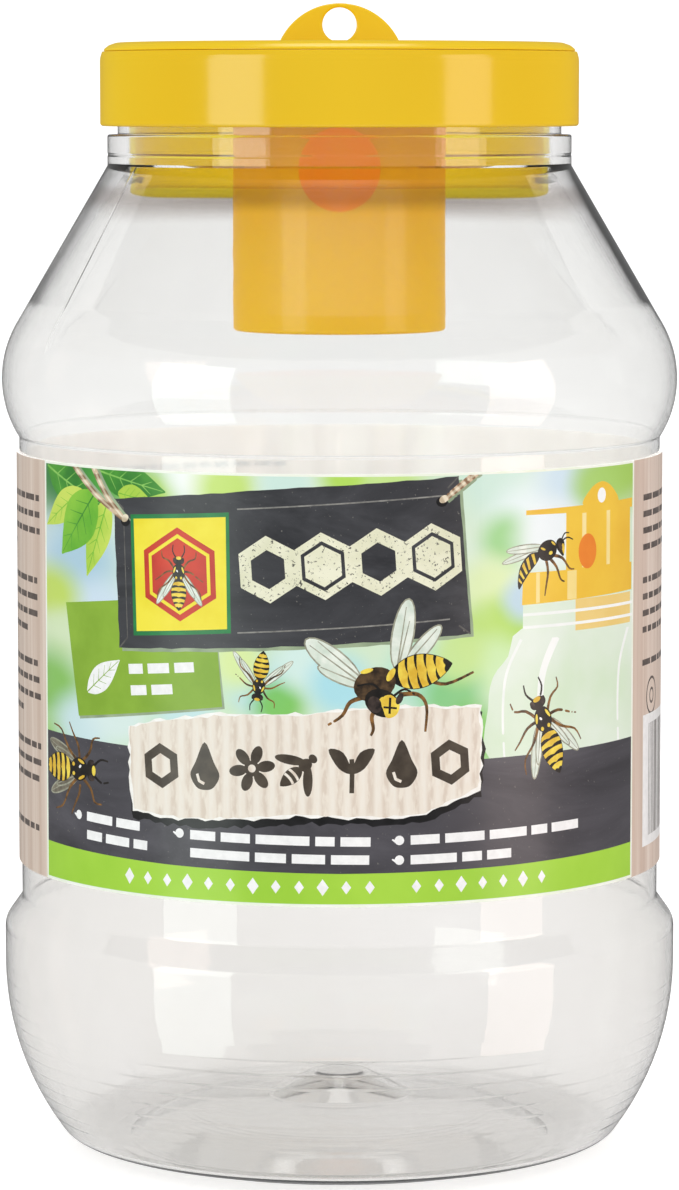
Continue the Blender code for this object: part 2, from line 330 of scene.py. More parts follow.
class Paint(Tree):
    """A node material under construction: a Principled shader with textures round it."""

    def __init__(self, name, roughness, **sockets):
        self.mat = bpy.data.materials.new(name)
        super().__init__(self.mat)
        self.shader = self.nodes["Principled BSDF"]
        self.out = self.nodes["Material Output"]
        self.fill(self.shader, Roughness=roughness, **sockets)
        self.place = self.node("TexCoord").outputs["Object"]

    def scaled_place(self, scale):
        """Object coordinates stretched by (x, y, z) factors."""
        return self.node("Mapping", Vector=self.place, Scale=scale).outputs["Vector"]

    def noise(self, scale, detail=3.0, roughness=0.5, stretch=(1, 1, 1), distortion=0.0):
        """A noise value between 0 and 1; scale is in features per metre."""
        return self.node("TexNoise", Vector=self.scaled_place(stretch), Scale=scale, Detail=detail,
                         Roughness=roughness, Distortion=distortion).outputs["Fac"]

    def tones(self, value, *stops):
        """Colours along a value: stops are (position, red, green, blue) as on a screen."""
        return self.ramp(value, [(stop[0], srgb(*stop[1:])) for stop in stops])

    def mask(self, value, low, high, ease="LINEAR"):
        """Black up to a low value and white from a high one on."""
        return self.ramp(value, [(low, BLACK), (high, WHITE)], ease)

    def colour(self, socket):
        """Use a colour socket as the base colour."""
        self.fill(self.shader, Base_Color=socket)

    def vary_roughness(self, value, low, high):
        """Roughness between two levels along a value."""
        level = self.node("MapRange", Value=value, To_Min=low, To_Max=high)
        self.fill(self.shader, Roughness=level.outputs["Result"])

    def bump(self, value, height, strength=1.0):
        """Raise the surface along a value; height is in millimetres."""
        node = self.node("Bump", Height=value, Distance=height * MM, Strength=strength)
        before = self.shader.inputs["Normal"].links
        if before:
            self.fill(node, Normal=before[0].from_socket)
        self.fill(self.shader, Normal=node.outputs["Normal"])

    def mix_surface(self, share, shader):
        """Mix another shader node over the whole surface by a fixed share or a socket."""
        before = self.out.inputs["Surface"].links[0].from_socket
        node = self.node("MixShader", Fac=share)
        self.links.new(before, node.inputs[1])
        self.links.new(shader.outputs[0], node.inputs[2])
        self.fill(self.out, Surface=node.outputs[0])


# --------------------------------------------------------------- the materials

PET_DENSITY = 26.0
# The jar's colour is greyer up to the first height and clearer from the second one on.
GREYER_UP_TO = 40.0
CLEARER_FROM = 115.0
# Painted shade: where the jar's colour greys in a band at the neck root.
NECK_ROOT_PAINTED_SHADE = [(0.36, BLACK), (0.45, WHITE), (0.53, WHITE), (0.57, BLACK)]


def clear_pet():
    """Clear blown PET: glossy, faintly wavy, greyer towards the bottom, with painted shade in a
    band at the neck root, and greyed by its volume where more of it is in the way.
    """
    paint = Paint("clear_pet", 0.03, Transmission_Weight=1.0, IOR=1.52)
    height = paint.node("SeparateXYZ", Vector=paint.place).outputs["Z"]
    share = paint.node("MapRange", Value=height, From_Min=GREYER_UP_TO * MM, From_Max=CLEARER_FROM * MM)
    share.interpolation_type = "SMOOTHSTEP"
    # Greyer towards the bottom, clearer above the label.
    lower_tone = paint.tones(paint.noise(25.0), (0.3, 234, 233, 231), (0.7, 238, 237, 236))
    upper_tone = paint.tones(paint.noise(30.0), (0.3, 241, 241, 240), (0.7, 244, 244, 243))
    clearness = paint.mix(share.outputs["Result"], lower_tone, upper_tone)
    # Painted shade at the neck root: a grey band mixed into the base colour.
    neck_root = paint.node("MapRange", Value=height, From_Min=140 * MM, From_Max=160 * MM)
    smoke_and_painted_shade = paint.ramp(neck_root.outputs["Result"], NECK_ROOT_PAINTED_SHADE)
    paint.colour(paint.mix(smoke_and_painted_shade, clearness, srgb(200, 195, 192)))
    paint.bump(paint.noise(60.0, detail=1.0, stretch=(1, 1, 0.45)), 0.12, 0.35)
    depth = paint.node("VolumeAbsorption", Color=(0.51, 0.49, 0.48, 1.0), Density=PET_DENSITY)
    paint.fill(paint.out, Volume=depth.outputs[0])
    shadow_ray = paint.node("LightPath").outputs["Is Shadow Ray"]
    paint.mix_surface(shadow_ray, paint.node("BsdfTransparent", Color=srgb(251, 251, 251)))
    return paint.mat


def yellow_plastic(name, deep, bright, see_through, painted_glow, sheen=0.06):
    """Moulded yellow plastic with soft flow marks, fine grain, some light through it and a painted
    glow.
    """
    paint = Paint(name, 0.3, IOR=1.5, Specular_IOR_Level=0.03)
    flow = paint.noise(22.0, detail=2.0, stretch=(1, 1, 0.35), distortion=0.4)
    tone = paint.tones(flow, (0.3, *deep), (0.7, *bright))
    # Painted light: the base colour also glows as an emission, so the plastic looks brighter than
    # its lighting makes it.
    paint.fill(paint.shader, Base_Color=tone, Emission_Color=tone, Emission_Strength=painted_glow)
    paint.vary_roughness(paint.noise(90.0), 0.24, 0.36)
    paint.bump(paint.noise(900.0, detail=2.0), 0.01, 0.35)
    paint.bump(paint.noise(45.0, detail=1.0), 0.05, 0.25)
    paint.mix_surface(see_through, paint.node("BsdfTranslucent", Color=srgb(*bright)))
    paint.mix_surface(sheen, paint.node("BsdfGlossy", Roughness=0.13))
    return paint.mat


def clear_yellow():
    """See-through yellow plastic: what is behind it shows through its satin surface."""
    paint = Paint("insert_yellow", 0.22, IOR=1.45)
    flow = paint.noise(30.0, detail=2.0, distortion=0.4)
    paint.colour(paint.tones(flow, (0.3, 226, 182, 40), (0.7, 234, 194, 60)))
    paint.bump(paint.noise(120.0, detail=1.0), 0.03, 0.4)
    paint.mix_surface(0.92, paint.node("BsdfTransparent", Color=(0.98, 0.89, 0.14, 1.0)))
    return paint.mat


# -------------------------------------------------------------------- the jar

def jar_outside():
    """The jar's outside below the collar, from the shoulder to the centre of the base."""
    return [
        (COLLAR_R, COLLAR_BOTTOM_Z, 0),
        (SHOULDER_R, SHOULDER_Z, 17.0),
        (PANEL_R, 111.7, 0.6),
        (PANEL_R, 39.2, 1.0),
        (BULGE_R, 35.4, 3.0),
        (BULGE_R, 14.9, 43.9),
        (43.6, 1.95, 3.0),
        (36.0, 0.0, 1.0),
        (33.0, 0.0, 1.0),
        (27.5, 3.7, 20.0),
        (10.9, 6.2, 1.6),
        (4.4, 9.6, 2.6),
        (0.0, 9.6, 0),
    ]


def seam_swell(r, z, angle):
    """The fine raised line that the two mould halves leave down the shoulder."""
    slope = (SHOULDER_R - COLLAR_R) / (COLLAR_BOTTOM_Z - SHOULDER_Z)
    cone_r = COLLAR_R + (COLLAR_BOTTOM_Z - z) * slope
    if not SHOULDER_Z < z < COLLAR_BOTTOM_Z - 0.05 or abs(r - cone_r) > WALL / 3:
        return 0.0
    front = angle + math.pi / 2
    off = min(abs(math.remainder(front - SEAM_AZIMUTH, TURN)),
              abs(math.remainder(front - SEAM_AZIMUTH - math.pi, TURN)))
    return 0.05 * max(0.0, 1.0 - off / math.radians(0.5))


def seam_angles():
    """Even azimuths with close ones added at both mould lines."""
    angles = even_angles()
    for seam in (SEAM_AZIMUTH, SEAM_AZIMUTH + math.pi):
        middle = math.remainder(seam - math.pi / 2, TURN)
        for off in (-0.75, -0.5, -0.25, 0.0, 0.25, 0.5, 0.75):
            angles.append(middle + math.radians(off))
    return sorted(math.remainder(angle, TURN) for angle in angles)


def outward(shell):
    """Turn the faces of a closed bmesh outward."""
    bmesh.ops.recalc_face_normals(shell, faces=shell.faces)


def thread_ridge(name, root_r, crest_r, start_z, turns, start_angle):
    """A helical ridge that climbs LEAD in each turn and fades at both ends."""
    half_foot = 0.8
    half_crest = 0.4
    fade = 12
    steps = int(96 * turns)
    verts = []
    faces = [[3, 2, 1, 0], range(4 * steps, 4 * steps + 4)]
    for step in range(steps + 1):
        share = step / steps
        rise = min(1.0, share * fade, (1 - share) * fade)
        tip = root_r + (crest_r - root_r) * (0.05 + 0.95 * rise)
        for r, off in ((root_r, half_foot), (tip, half_crest), (tip, -half_crest),
                       (root_r, -half_foot)):
            z = start_z + share * turns * LEAD + off
            verts.append(turned(r, z, start_angle + share * turns * TURN))
    for low in range(0, 4 * steps, 4):
        for side, after in ((0, 1), (1, 2), (2, 3), (3, 0)):
            faces.append([low + side, low + after, low + 4 + after, low + 4 + side])
    obj = add_mesh(name, verts, faces)
    edit_mesh(obj.data, outward)
    return obj


def clear_jar():
    """The blown jar with its neck, collar, thread, mould lines and pushed-up base."""
    outside = jar_outside()
    inside = inside_offset(outside, WALL)
    inside[-1] = (0.0, inside[-2][1], 0)
    inside[:1] = [(BORE_R, 154.2, 1.5), (47.9, 132.0, 20.0)]
    neck = [
        (BORE_R, MOUTH_Z, 0.4),
        (NECK_R, MOUTH_Z, 0.4),
        (NECK_R, COLLAR_TOP_Z, 0.15),
        (COLLAR_R, COLLAR_TOP_Z, 0.35),
        (COLLAR_R, 155.9, 0.3),
        (COLLAR_R - 0.1, 155.6, 0.3),
        (COLLAR_R, 155.3, 0.3),
    ]
    inner = filleted(list(reversed(inside)), closed=False)
    outer = filleted(neck + outside, closed=False)
    obj = lathe("clear_jar", inner + outer, closed=False, angles=seam_angles(),
                swell=seam_swell)
    ridge = thread_ridge("neck_thread", NECK_R - 0.3, 35.6, THREAD_Z, 1.0, 0.0)
    combine(obj, ridge, "UNION")
    smooth(obj)
    dress(obj, clear_pet())
    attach(obj, "jar")
    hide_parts("jar")
    return obj


# ---------------------------------------------------------------- lid and tower


def lid_ring():
    """The screw ring with a smooth skirt, soft top edge and inside thread."""
    r = RING_HIGH.x
    top = RING_HIGH.z
    bottom = RING_LOW.z
    inner = 36.0
    hole = TUBE_HIGH.x + SLIDE_GAP
    plate = top - 1.2
    bead = inner - 0.75
    bead_z = 168.5
    corners = [
        (r - 0.33, top, 0.1), (r - 0.1, top - 0.72, 1.5), (r, top - 1.35, 1.5),
        (r, bottom, 0.5), (inner, bottom, 0.4), (inner, bead_z - 0.7, 0),
        (bead, bead_z - 0.35, 0.1), (bead, bead_z, 0.1), (inner, bead_z + 0.35, 0),
        (inner, plate, 0.3), (hole, plate, 0.3), (hole, top, 0.3),
    ]
    obj = lathe("lid_ring", filleted(corners, closed=True), closed=True)
    start_z = THREAD_Z - LEAD / 2 + LEAD * 0.2
    combine(obj, thread_ridge("ring_thread", inner + 0.3, 34.9, start_z, 0.95, 0.2 * TURN), "UNION")
    smooth(obj)
    dress(obj, yellow_plastic("lid_yellow", (243, 200, 24), (247, 210, 36), 0.15, 0.05))
    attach(obj, "ring")
    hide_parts("screw_ring")
    return obj


def lid_plug():
    """The plug insert: flange, skirt in the bore and collar round the tube."""
    top = PLUG_HIGH.z
    bottom = PLUG_LOW.z
    flange = top - 1.0
    skirt = 32.75
    skirt_inside = skirt - 0.9
    guide = TUBE_HIGH.x + SLIDE_GAP
    guide_outside = guide + 1.1
    guide_bottom = 163.0
    corners = [
        (PLUG_HIGH.x, top, 0.3), (PLUG_HIGH.x, flange, 0.3), (skirt, flange, 0.2),
        (skirt, bottom, 0.4), (skirt_inside, bottom, 0.4), (skirt_inside, flange, 0.8),
        (guide_outside, flange, 0.8), (guide_outside, guide_bottom, 0.4),
        (guide, guide_bottom, 0.4), (guide, top, 0.3),
    ]
    obj = lathe("lid_plug", filleted(corners, closed=True), closed=True)
    dress(obj, clear_yellow())
    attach(obj, "insert")
    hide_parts("plug_insert")
    return obj


def tower_tube():
    """The entry tube with its round hole; its inside faces are painted a deeper orange as shade,
    with a stronger painted glow.
    """
    r = TUBE_HIGH.x
    inner = r - 0.9
    corners = [
        (r, TUBE_HIGH.z, 0), (r, TUBE_LOW.z, 0.5), (inner, TUBE_LOW.z, 0.3),
        (inner, TUBE_HIGH.z, 0),
    ]
    obj = lathe("tower_tube", filleted(corners, closed=True), closed=True)
    bpy.ops.mesh.primitive_cylinder_add(
        vertices=96, radius=HOLE_R * MM, depth=r * MM,
        location=(0.0, -r * MM, HOLE_Z * MM), rotation=(math.pi / 2, 0.0, 0.0))
    combine(obj, bpy.context.object, "DIFFERENCE")
    smooth(obj)
    # The second material, tower_inside, is a painted-shade copy of the tube plastic with a stronger
    # painted glow.
    dress(obj, yellow_plastic("tower_yellow", (246, 207, 10), (250, 218, 20), 0.3, 0.2, 0.035),
          yellow_plastic("tower_inside", (234, 170, 20), (240, 180, 26), 0.45, 0.56))
    middle = (r + inner) / 2 * MM
    for face in obj.data.polygons:
        centre = face.center
        inward = face.normal.x * centre.x + face.normal.y * centre.y < 0
        if inward and math.hypot(centre.x, centre.y) < middle:
            face.material_index = 1
    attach(obj, "tower")
    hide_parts("entry_tube")
    return obj


def eye_outline(count=48):
    """The eye's outline (x, z) from its right foot over the top, and its hole's outline."""
    arc_r = 10.3
    base = ROOF_HIGH.z - 0.3
    hole_r = 2.67
    hole_z = 175.7
    outer_z = EYE_HIGH.z - arc_r
    start = math.asin((base - outer_z) / arc_r)

    def point(r, centre_z, angle):
        return (r * math.cos(angle), centre_z + r * math.sin(angle))

    outer = [point(arc_r, outer_z, start + (math.pi - 2 * start) * step / count)
             for step in range(count + 1)]
    return outer, [point(hole_r, hole_z, TURN * step / count) for step in range(count)]


def eye_solid():
    """The hanging eye as a mesh of its own, flat in the plane y = 0."""
    bevel = 0.3
    curve = bpy.data.curves.new("hanging_eye_shape", "CURVE")
    curve.dimensions = "2D"
    curve.fill_mode = "BOTH"
    curve.extrude = ((EYE_HIGH.y - EYE_LOW.y) / 2 - bevel) * MM
    curve.bevel_depth = bevel * MM
    curve.bevel_resolution = 3
    curve.offset = -bevel * MM
    for outline in eye_outline():
        spline = curve.splines.new("POLY")
        spline.points.add(len(outline) - 1)
        for point, (x, z) in zip(spline.points, outline):
            point.co = (x * MM, z * MM, 0.0, 1.0)
        spline.use_cyclic_u = True
    shape = add_object("hanging_eye_shape", curve)
    shape.rotation_euler = (math.pi / 2, 0.0, 0.0)
    bpy.context.view_layer.update()
    graph = bpy.context.evaluated_depsgraph_get()
    mesh = bpy.data.meshes.new_from_object(shape.evaluated_get(graph))
    mesh.transform(shape.matrix_world)
    bpy.data.objects.remove(shape, do_unlink=True)

    def weld(shell):
        bmesh.ops.remove_doubles(shell, verts=shell.verts, dist=0.000002)
        outward(shell)
    edit_mesh(mesh, weld)
    return add_object("eye_solid", mesh)


def roof_with_eye():
    """The flat roof disc with its soft rim, and the hanging eye that grows out of it."""
    top = ROOF_HIGH.z
    under = top - 1.32
    spigot = TUBE_HIGH.x - 1.2
    corners = [
        (0.0, top, 0), (34.7, top, 2.0), (35.9, top - 0.4, 1.5), (36.6, top - 0.95, 0.6),
        (ROOF_HIGH.x - 0.15, under, 0.1),
        (spigot, under, 0), (spigot, ROOF_LOW.z, 0.3), (spigot - 1.2, ROOF_LOW.z, 0.3),
        (spigot - 1.2, under, 0), (0.0, under, 0),
    ]
    obj = lathe("roof_with_eye", filleted(corners, closed=False), closed=False)
    combine(obj, eye_solid(), "UNION")
    smooth(obj)
    # Painted light: the roof's tones are a lighter copy of the lid's, to brighten the roof and eye.
    dress(obj, yellow_plastic("roof_yellow", (243, 206, 26), (247, 215, 40), 0.15, 0.08))
    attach(obj, "tower")
    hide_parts("roof_disc", "hanging_eye")
    return obj


# --------------------------------------------------------------- label artwork
# Flat outlines in millimetres: u runs to the right round the jar from the front, and v
# runs up from the label's lower edge.

class Artwork:
    """Closed outlines in draw order, each with the name of its ink."""

    def __init__(self):
        self.shapes = []
        self.clip = 0

    def fill(self, ink, *outlines):
        """Fill outlines with an ink."""
        for outline in outlines:
            self.shapes.append((ink, list(outline), self.clip))

    def clip_to_last(self):
        """Keep every later outline inside the one that was filled last."""
        self.clip = len(self.shapes) - 1

    def line(self, ink, points, width, end_width=None):
        """Draw a line that may taper."""
        self.fill(ink, *stroke_pieces(points, width, end_width))

    def ovals(self, *marks):
        """Fill ellipses: each mark is an ink and what ellipse() is given."""
        for ink, *oval in marks:
            self.fill(ink, ellipse(*oval))


class Brush(Artwork):
    """Draws in unit size on an artwork; what it draws is turned, scaled and moved."""

    def __init__(self, art, at, heading, size):
        self.art = art
        self.pose = (at, heading, size)
        self.size = size

    def fill(self, ink, *outlines):
        self.art.fill(ink, *[placed(outline, *self.pose) for outline in outlines])

    def line(self, ink, points, width, end_width=None):
        end_width = width if end_width is None else end_width
        self.art.line(ink, placed(points, *self.pose), width * self.size, end_width * self.size)


def rectangle(u0, v0, u1, v1):
    return [(u0, v0), (u1, v0), (u1, v1), (u0, v1)]


def ellipse(u, v, along, across, tilt=0, count=20):
    """An ellipse's outline; tilt turns its long way, in degrees from the right."""
    turn = math.radians(tilt)
    points = []
    for step in range(count):
        angle = TURN * step / count
        x = along * math.cos(angle)
        y = across * math.sin(angle)
        points.append((u + x * math.cos(turn) - y * math.sin(turn),
                       v + x * math.sin(turn) + y * math.cos(turn)))
    return points


def spline(points, steps):
    """The curve between the second and the last but one of a row of points."""
    curve = []
    for group in zip(points, points[1:], points[2:], points[3:]):
        for step in range(steps):
            t = step / steps
            curve.append(tuple(
                0.5 * (2 * q + (r - p) * t + (2 * p - 5 * q + 4 * r - s) * t * t
                       + (3 * q - p - 3 * r + s) * t ** 3)
                for p, q, r, s in zip(*group)))
    return curve


def smooth_line(points, steps=5):
    """A curve through points."""
    return spline([points[0], *points, points[-1]], steps) + [tuple(points[-1])]


def smooth_loop(points, steps=4):
    """A closed curve through points."""
    return spline([points[-1], *points, points[0], points[1]], steps)


def stroke_pieces(points, width, end_width=None):
    """A drawn line that may taper: one four-sided piece a stretch, and a round joint."""
    end_width = width if end_width is None else end_width
    pieces = []
    last = len(points) - 1
    for index, ((u0, v0), (u1, v1)) in enumerate(zip(points, points[1:])):
        length = math.hypot(u1 - u0, v1 - v0)
        if length < 0.0001:
            continue
        du = -(v1 - v0) / length
        dv = (u1 - u0) / length
        near = (width + (end_width - width) * index / last) / 2
        far = (width + (end_width - width) * (index + 1) / last) / 2
        pieces.append([(u0 + du * near, v0 + dv * near), (u0 - du * near, v0 - dv * near),
                       (u1 - du * far, v1 - dv * far), (u1 + du * far, v1 + dv * far)])
        if index:
            pieces.append(ellipse(u0, v0, near, near, 0, 8))
    return pieces


def torn(points, rough, rng, step=1.1):
    """A closed outline whose edges are cut into short uneven stretches."""
    outline = []
    for (u0, v0), (u1, v1) in zip(points, points[1:] + points[:1]):
        length = math.hypot(u1 - u0, v1 - v0)
        count = max(1, round(length / step))
        for index in range(count):
            share = index / count
            off = rng.uniform(-rough, rough)
            outline.append((u0 + (u1 - u0) * share - (v1 - v0) / length * off,
                            v0 + (v1 - v0) * share + (u1 - u0) / length * off))
    return outline


def placed(points, at, heading, size):
    """Points of a drawing of unit size, turned to a heading, scaled and moved."""
    turn = math.radians(heading)
    return [(at[0] + size * (x * math.cos(turn) - y * math.sin(turn)),
             at[1] + size * (x * math.sin(turn) + y * math.cos(turn)))
            for x, y in points]


def abdomen_half_width(share):
    """Half the width of a wasp's abdomen, from its waist (0) to its tip (1)."""
    return 0.3 * math.sin(math.pi * min(1, 0.06 + 0.94 * share) ** 0.85) ** 0.75


def abdomen_outline(count=14):
    """The whole outline of a wasp's abdomen, tip to the left."""
    side = []
    for index in range(count + 1):
        share = index / count
        side.append((-0.05 - 1.1 * share, abdomen_half_width(share) + 0.012))
    return side + [(x, -y) for x, y in side[::-1]]


def abdomen_band(start, end, wave=0):
    """A cross band of the abdomen between two shares of its length."""
    count = 6
    front = []
    back = []
    for index in range(count + 1):
        side = 1 - 2 * index / count
        bend = wave * (1 - abs(side)) ** 2
        for share, edge in ((start - 0.04 * (1 - side * side), front),
                            (end - 0.04 * (1 - side * side) + bend, back)):
            share = min(max(share, 0), 1)
            edge.append((-0.05 - 1.1 * share, side * abdomen_half_width(share)))
    return front + back[::-1]


def draw_wing(brush, ink, base, tip, half, rim, vein):
    """A long wing from its base to its tip, with a rim and a middle vein."""
    reach = (tip[0] - base[0], tip[1] - base[1])
    middle = ((base[0] + tip[0]) / 2, (base[1] + tip[1]) / 2)
    length = math.hypot(*reach) / 2
    tilt = math.degrees(math.atan2(reach[1], reach[0]))
    brush.ovals(("wing_vein", *middle, length, half, tilt),
                (ink, *middle, length - rim, half - rim, tilt))
    brush.line("wing_vein", [base, tip], vein, 0.01)


def wasp_from_above(art, at, heading, size, spread=1, wing="wing"):
    """A wasp seen from above; its head points along the heading."""
    brush = Brush(art, at, heading, size)
    for side in (1, -1):
        for (x, y), (tip_x, tip_y), half in (((0.18, 0.16), (-0.95, 0.74), 0.15),
                                             ((0.1, 0.14), (-0.7, 0.52), 0.11)):
            tip = (tip_x, side * tip_y * spread)
            draw_wing(brush, wing, (x, side * y), tip, half, 0.035, 0.03)
        for leg in (((0.25, 0.12), (0.6, 0.38), (0.72, 0.66), (0.95, 0.7)),
                    ((0.25, 0.12), (0.22, 0.48), (0.02, 0.78), (-0.1, 0.98)),
                    ((0.25, 0.12), (-0.15, 0.42), (-0.42, 0.8), (-0.75, 0.9))):
            brush.line("wasp_leg", smooth_line([(x, side * y) for x, y in leg], 3), 0.085, 0.03)
        feeler = [(0.72, side * 0.1), (0.95, side * 0.24), (1.18, side * 0.22)]
        brush.line("wasp_black", smooth_line(feeler, 3), 0.06, 0.035)
    brush.fill("wasp_black", abdomen_outline())
    for start in (0.1, 0.28, 0.46, 0.64, 0.8):
        brush.fill("wasp_yellow", abdomen_band(start, start + 0.09, 0.05))
    brush.ovals(("wasp_black", 0.22, 0, 0.31, 0.25))
    for side in (1, -1):
        brush.ovals(("wasp_yellow", 0.3, side * 0.17, 0.12, 0.035, -20 * side, 10),
                    ("wasp_yellow", 0.02, side * 0.1, 0.05, 0.045, 0, 10))
    brush.ovals(("wasp_black", 0.63, 0, 0.15, 0.23), ("wasp_yellow", 0.72, 0, 0.06, 0.11, 0, 12),
                ("wasp_eye", 0.64, 0.16, 0.1, 0.06, 20, 12),
                ("wasp_eye", 0.64, -0.16, 0.1, 0.06, -20, 12),
                ("ink_white", 0.26, 0.06, 0.05, 0.03, 30, 8))


def wasp_from_side(art, at, heading, size):
    """A wasp standing in profile; it faces along the heading."""
    brush = Brush(art, at, heading, size)
    for tip, half in (((-1.35, 0.16), 0.12), ((-1.15, 0.44), 0.13)):
        draw_wing(brush, "wing", (0.05, 0.22), tip, half, 0.03, 0.035)
    for leg in (((0.3, -0.1), (0.62, -0.28), (0.8, -0.62), (0.98, -0.7)),
                ((0.18, -0.15), (0.36, -0.45), (0.42, -0.8), (0.55, -0.92)),
                ((0.05, -0.12), (0.04, -0.48), (-0.12, -0.85), (-0.22, -1.08))):
        brush.line("wasp_leg", smooth_line(leg, 3), 0.1, 0.035)
    brush.fill("wasp_black", smooth_loop([
        (-0.12, 0.1), (-0.45, 0.16), (-0.8, -0.06), (-0.98, -0.42), (-1.00, -0.66),
        (-0.82, -0.52), (-0.56, -0.32), (-0.22, -0.1)]))
    brush.fill(
        "wasp_yellow",
        [(-0.3, 0.13), (-0.4, 0.13), (-0.36, -0.17), (-0.29, -0.14)],
        [(-0.5, 0.09), (-0.59, 0.05), (-0.57, -0.25), (-0.5, -0.24)],
        [(-0.68, 0.00), (-0.76, -0.08), (-0.68, -0.34), (-0.62, -0.32)],
        [(-0.83, -0.16), (-0.89, -0.25), (-0.8, -0.44), (-0.75, -0.42)],
        [(-0.93, -0.35), (-0.96, -0.43), (-0.89, -0.54), (-0.86, -0.5)])
    brush.fill("wasp_black", smooth_loop([
        (0.5, 0.14), (0.34, 0.32), (0.05, 0.33), (-0.16, 0.16), (-0.12, -0.08), (0.12, -0.2),
        (0.4, -0.12)]))
    brush.ovals(("wasp_yellow", 0.02, 0.16, 0.09, 0.03, -35, 10),
                ("wasp_yellow", 0.25, -0.02, 0.07, 0.05, 0, 10),
                ("wasp_yellow", 0.4, 0.2, 0.09, 0.03, -50, 10))
    brush.fill("wasp_black", smooth_loop([
        (0.52, 0.22), (0.66, 0.27), (0.78, 0.16), (0.76, -0.06), (0.66, -0.24), (0.55, -0.1),
        (0.48, 0.06)]))
    brush.fill("wasp_yellow", smooth_loop([(0.72, 0.1), (0.77, 0), (0.7, -0.2), (0.66, -0.02)]))
    brush.ovals(("wasp_eye", 0.62, 0.06, 0.06, 0.12, 15, 12))
    for feeler in (((0.72, 0.22), (0.86, 0.34), (1.02, 0.3)),
                   ((0.74, 0.18), (0.94, 0.2), (1.12, 0.08))):
        brush.line("wasp_black", smooth_line(feeler, 3), 0.05, 0.03)


def wasp_in_flight(art):
    """The large wasp in the middle that flies forward to the left of the viewer."""
    for ink, rim in (("wing_vein", 0), ("wing", 0.25)):
        for u, v, length, half, tilt in ((9.4, 40.6, 5.4, 1.75, 80), (12.4, 38.6, 4.3, 1.3, 48),
                                         (-1, 36.7, 5.2, 1.9, 142), (0.4, 34.4, 4, 1.2, 158)):
            art.ovals((ink, u, v, length - rim, half - rim, tilt))
    for vein in (((8.6, 36), (9.9, 44.6)), ((8.8, 36), (10.4, 42.5)),
                 ((9.8, 36), (14.6, 41.2)), ((3, 33.6), (-4.4, 39)),
                 ((3, 34.4), (-3.2, 39.6)), ((3, 33.4), (-2.8, 35.8))):
        art.line("wing_vein", vein, 0.28, 0.12)
    for leg in (((4, 31.4), (1.6, 30.6), (0.4, 28.6), (-1.7, 27.2)),
                ((8.8, 31.6), (11.6, 31.6), (13, 29.8), (12.8, 26)),
                ((9.2, 34.4), (12.8, 33.8), (16, 33), (20.4, 34.6)),
                ((6.2, 30.2), (4.8, 28.6), (5, 26.6), (4.6, 25.6))):
        art.line("wasp_leg", smooth_line(leg, 4), 0.75, 0.35)
    brush = Brush(art, (7.6, 34.2), 191, 8.3)
    brush.fill("wasp_black", abdomen_outline())
    for start in (0.12, 0.28, 0.44, 0.6, 0.76):
        brush.fill("wasp_yellow", abdomen_band(start, start + 0.11, 0.05))
    art.ovals(("wasp_brown", 5.2, 33.2, 3.2, 2.5, 20), ("wasp_yellow", 7.6, 34.6, 1.1, 0.5, 60, 12),
              ("wasp_yellow", 4, 35.2, 1, 0.35, 15, 12), ("wasp_black", 6.3, 30.4, 2.7, 2, -25))
    art.fill("wasp_yellow", smooth_loop([
        (5.9, 31), (7.6, 31.6), (8.9, 30.2), (8.4, 28.6), (7, 28.2), (6.4, 29.6)]))
    art.line("wasp_black", [(7.5, 31.2), (7.4, 28.8)], 0.35)
    art.line("wasp_black", [(6.5, 29.8), (8.5, 29.6)], 0.3)
    art.ovals(("wasp_eye", 5.2, 30.2, 1, 1.3, 20, 14), ("wasp_eye", 8.9, 31, 0.5, 0.9, -25, 12))
    for feeler in (((6.6, 31.4), (5, 33.2), (2.6, 33)), ((8, 31.4), (9.6, 32.4), (11.2, 31.6))):
        art.line("wasp_black", smooth_line(feeler, 4), 0.42, 0.25)


def text_bars(art, ink, start, end, height, rng, widest=4.2):
    """A line of writing shown as plain bars: one bar for each word."""
    length = math.hypot(end[0] - start[0], end[1] - start[1])
    along = ((end[0] - start[0]) / length, (end[1] - start[1]) / length)
    at = 0
    while at < length - height:
        word = min(rng.uniform(0.3, 1) * widest, length - at)
        first = (start[0] + along[0] * at, start[1] + along[1] * at)
        last = (start[0] + along[0] * (at + word), start[1] + along[1] * (at + word))
        art.line(ink, [first, last], height)
        at += word + height * 0.62


def leaf(art, ink, base, tip, half, vein):
    """A pointed leaf with its middle vein and side veins."""
    du = tip[0] - base[0]
    dv = tip[1] - base[1]
    length = math.hypot(du, dv)
    heading = math.degrees(math.atan2(dv, du))

    def edge(x):
        return half / length * math.sin(math.pi * x ** 0.8)

    side = [(x, edge(x)) for x in (0.08, 0.2, 0.4, 0.6, 0.8, 0.93)]
    outline = [(0, 0)] + side + [(1, 0)] + [(x, -y) for x, y in side[::-1]]
    art.fill(ink, placed(smooth_loop(outline, 3), base, heading, length))
    art.line(vein, placed([(0, 0), (0.96, 0)], base, heading, length), 0.022 * length, 0.1)
    for x in (0.2, 0.36, 0.52, 0.68):
        for way in (1, -1):
            stretch = [(x, 0), (x + 0.13, way * 0.7 * edge(x + 0.12))]
            art.line(vein, placed(stretch, base, heading, length), 0.012 * length, 0.06)


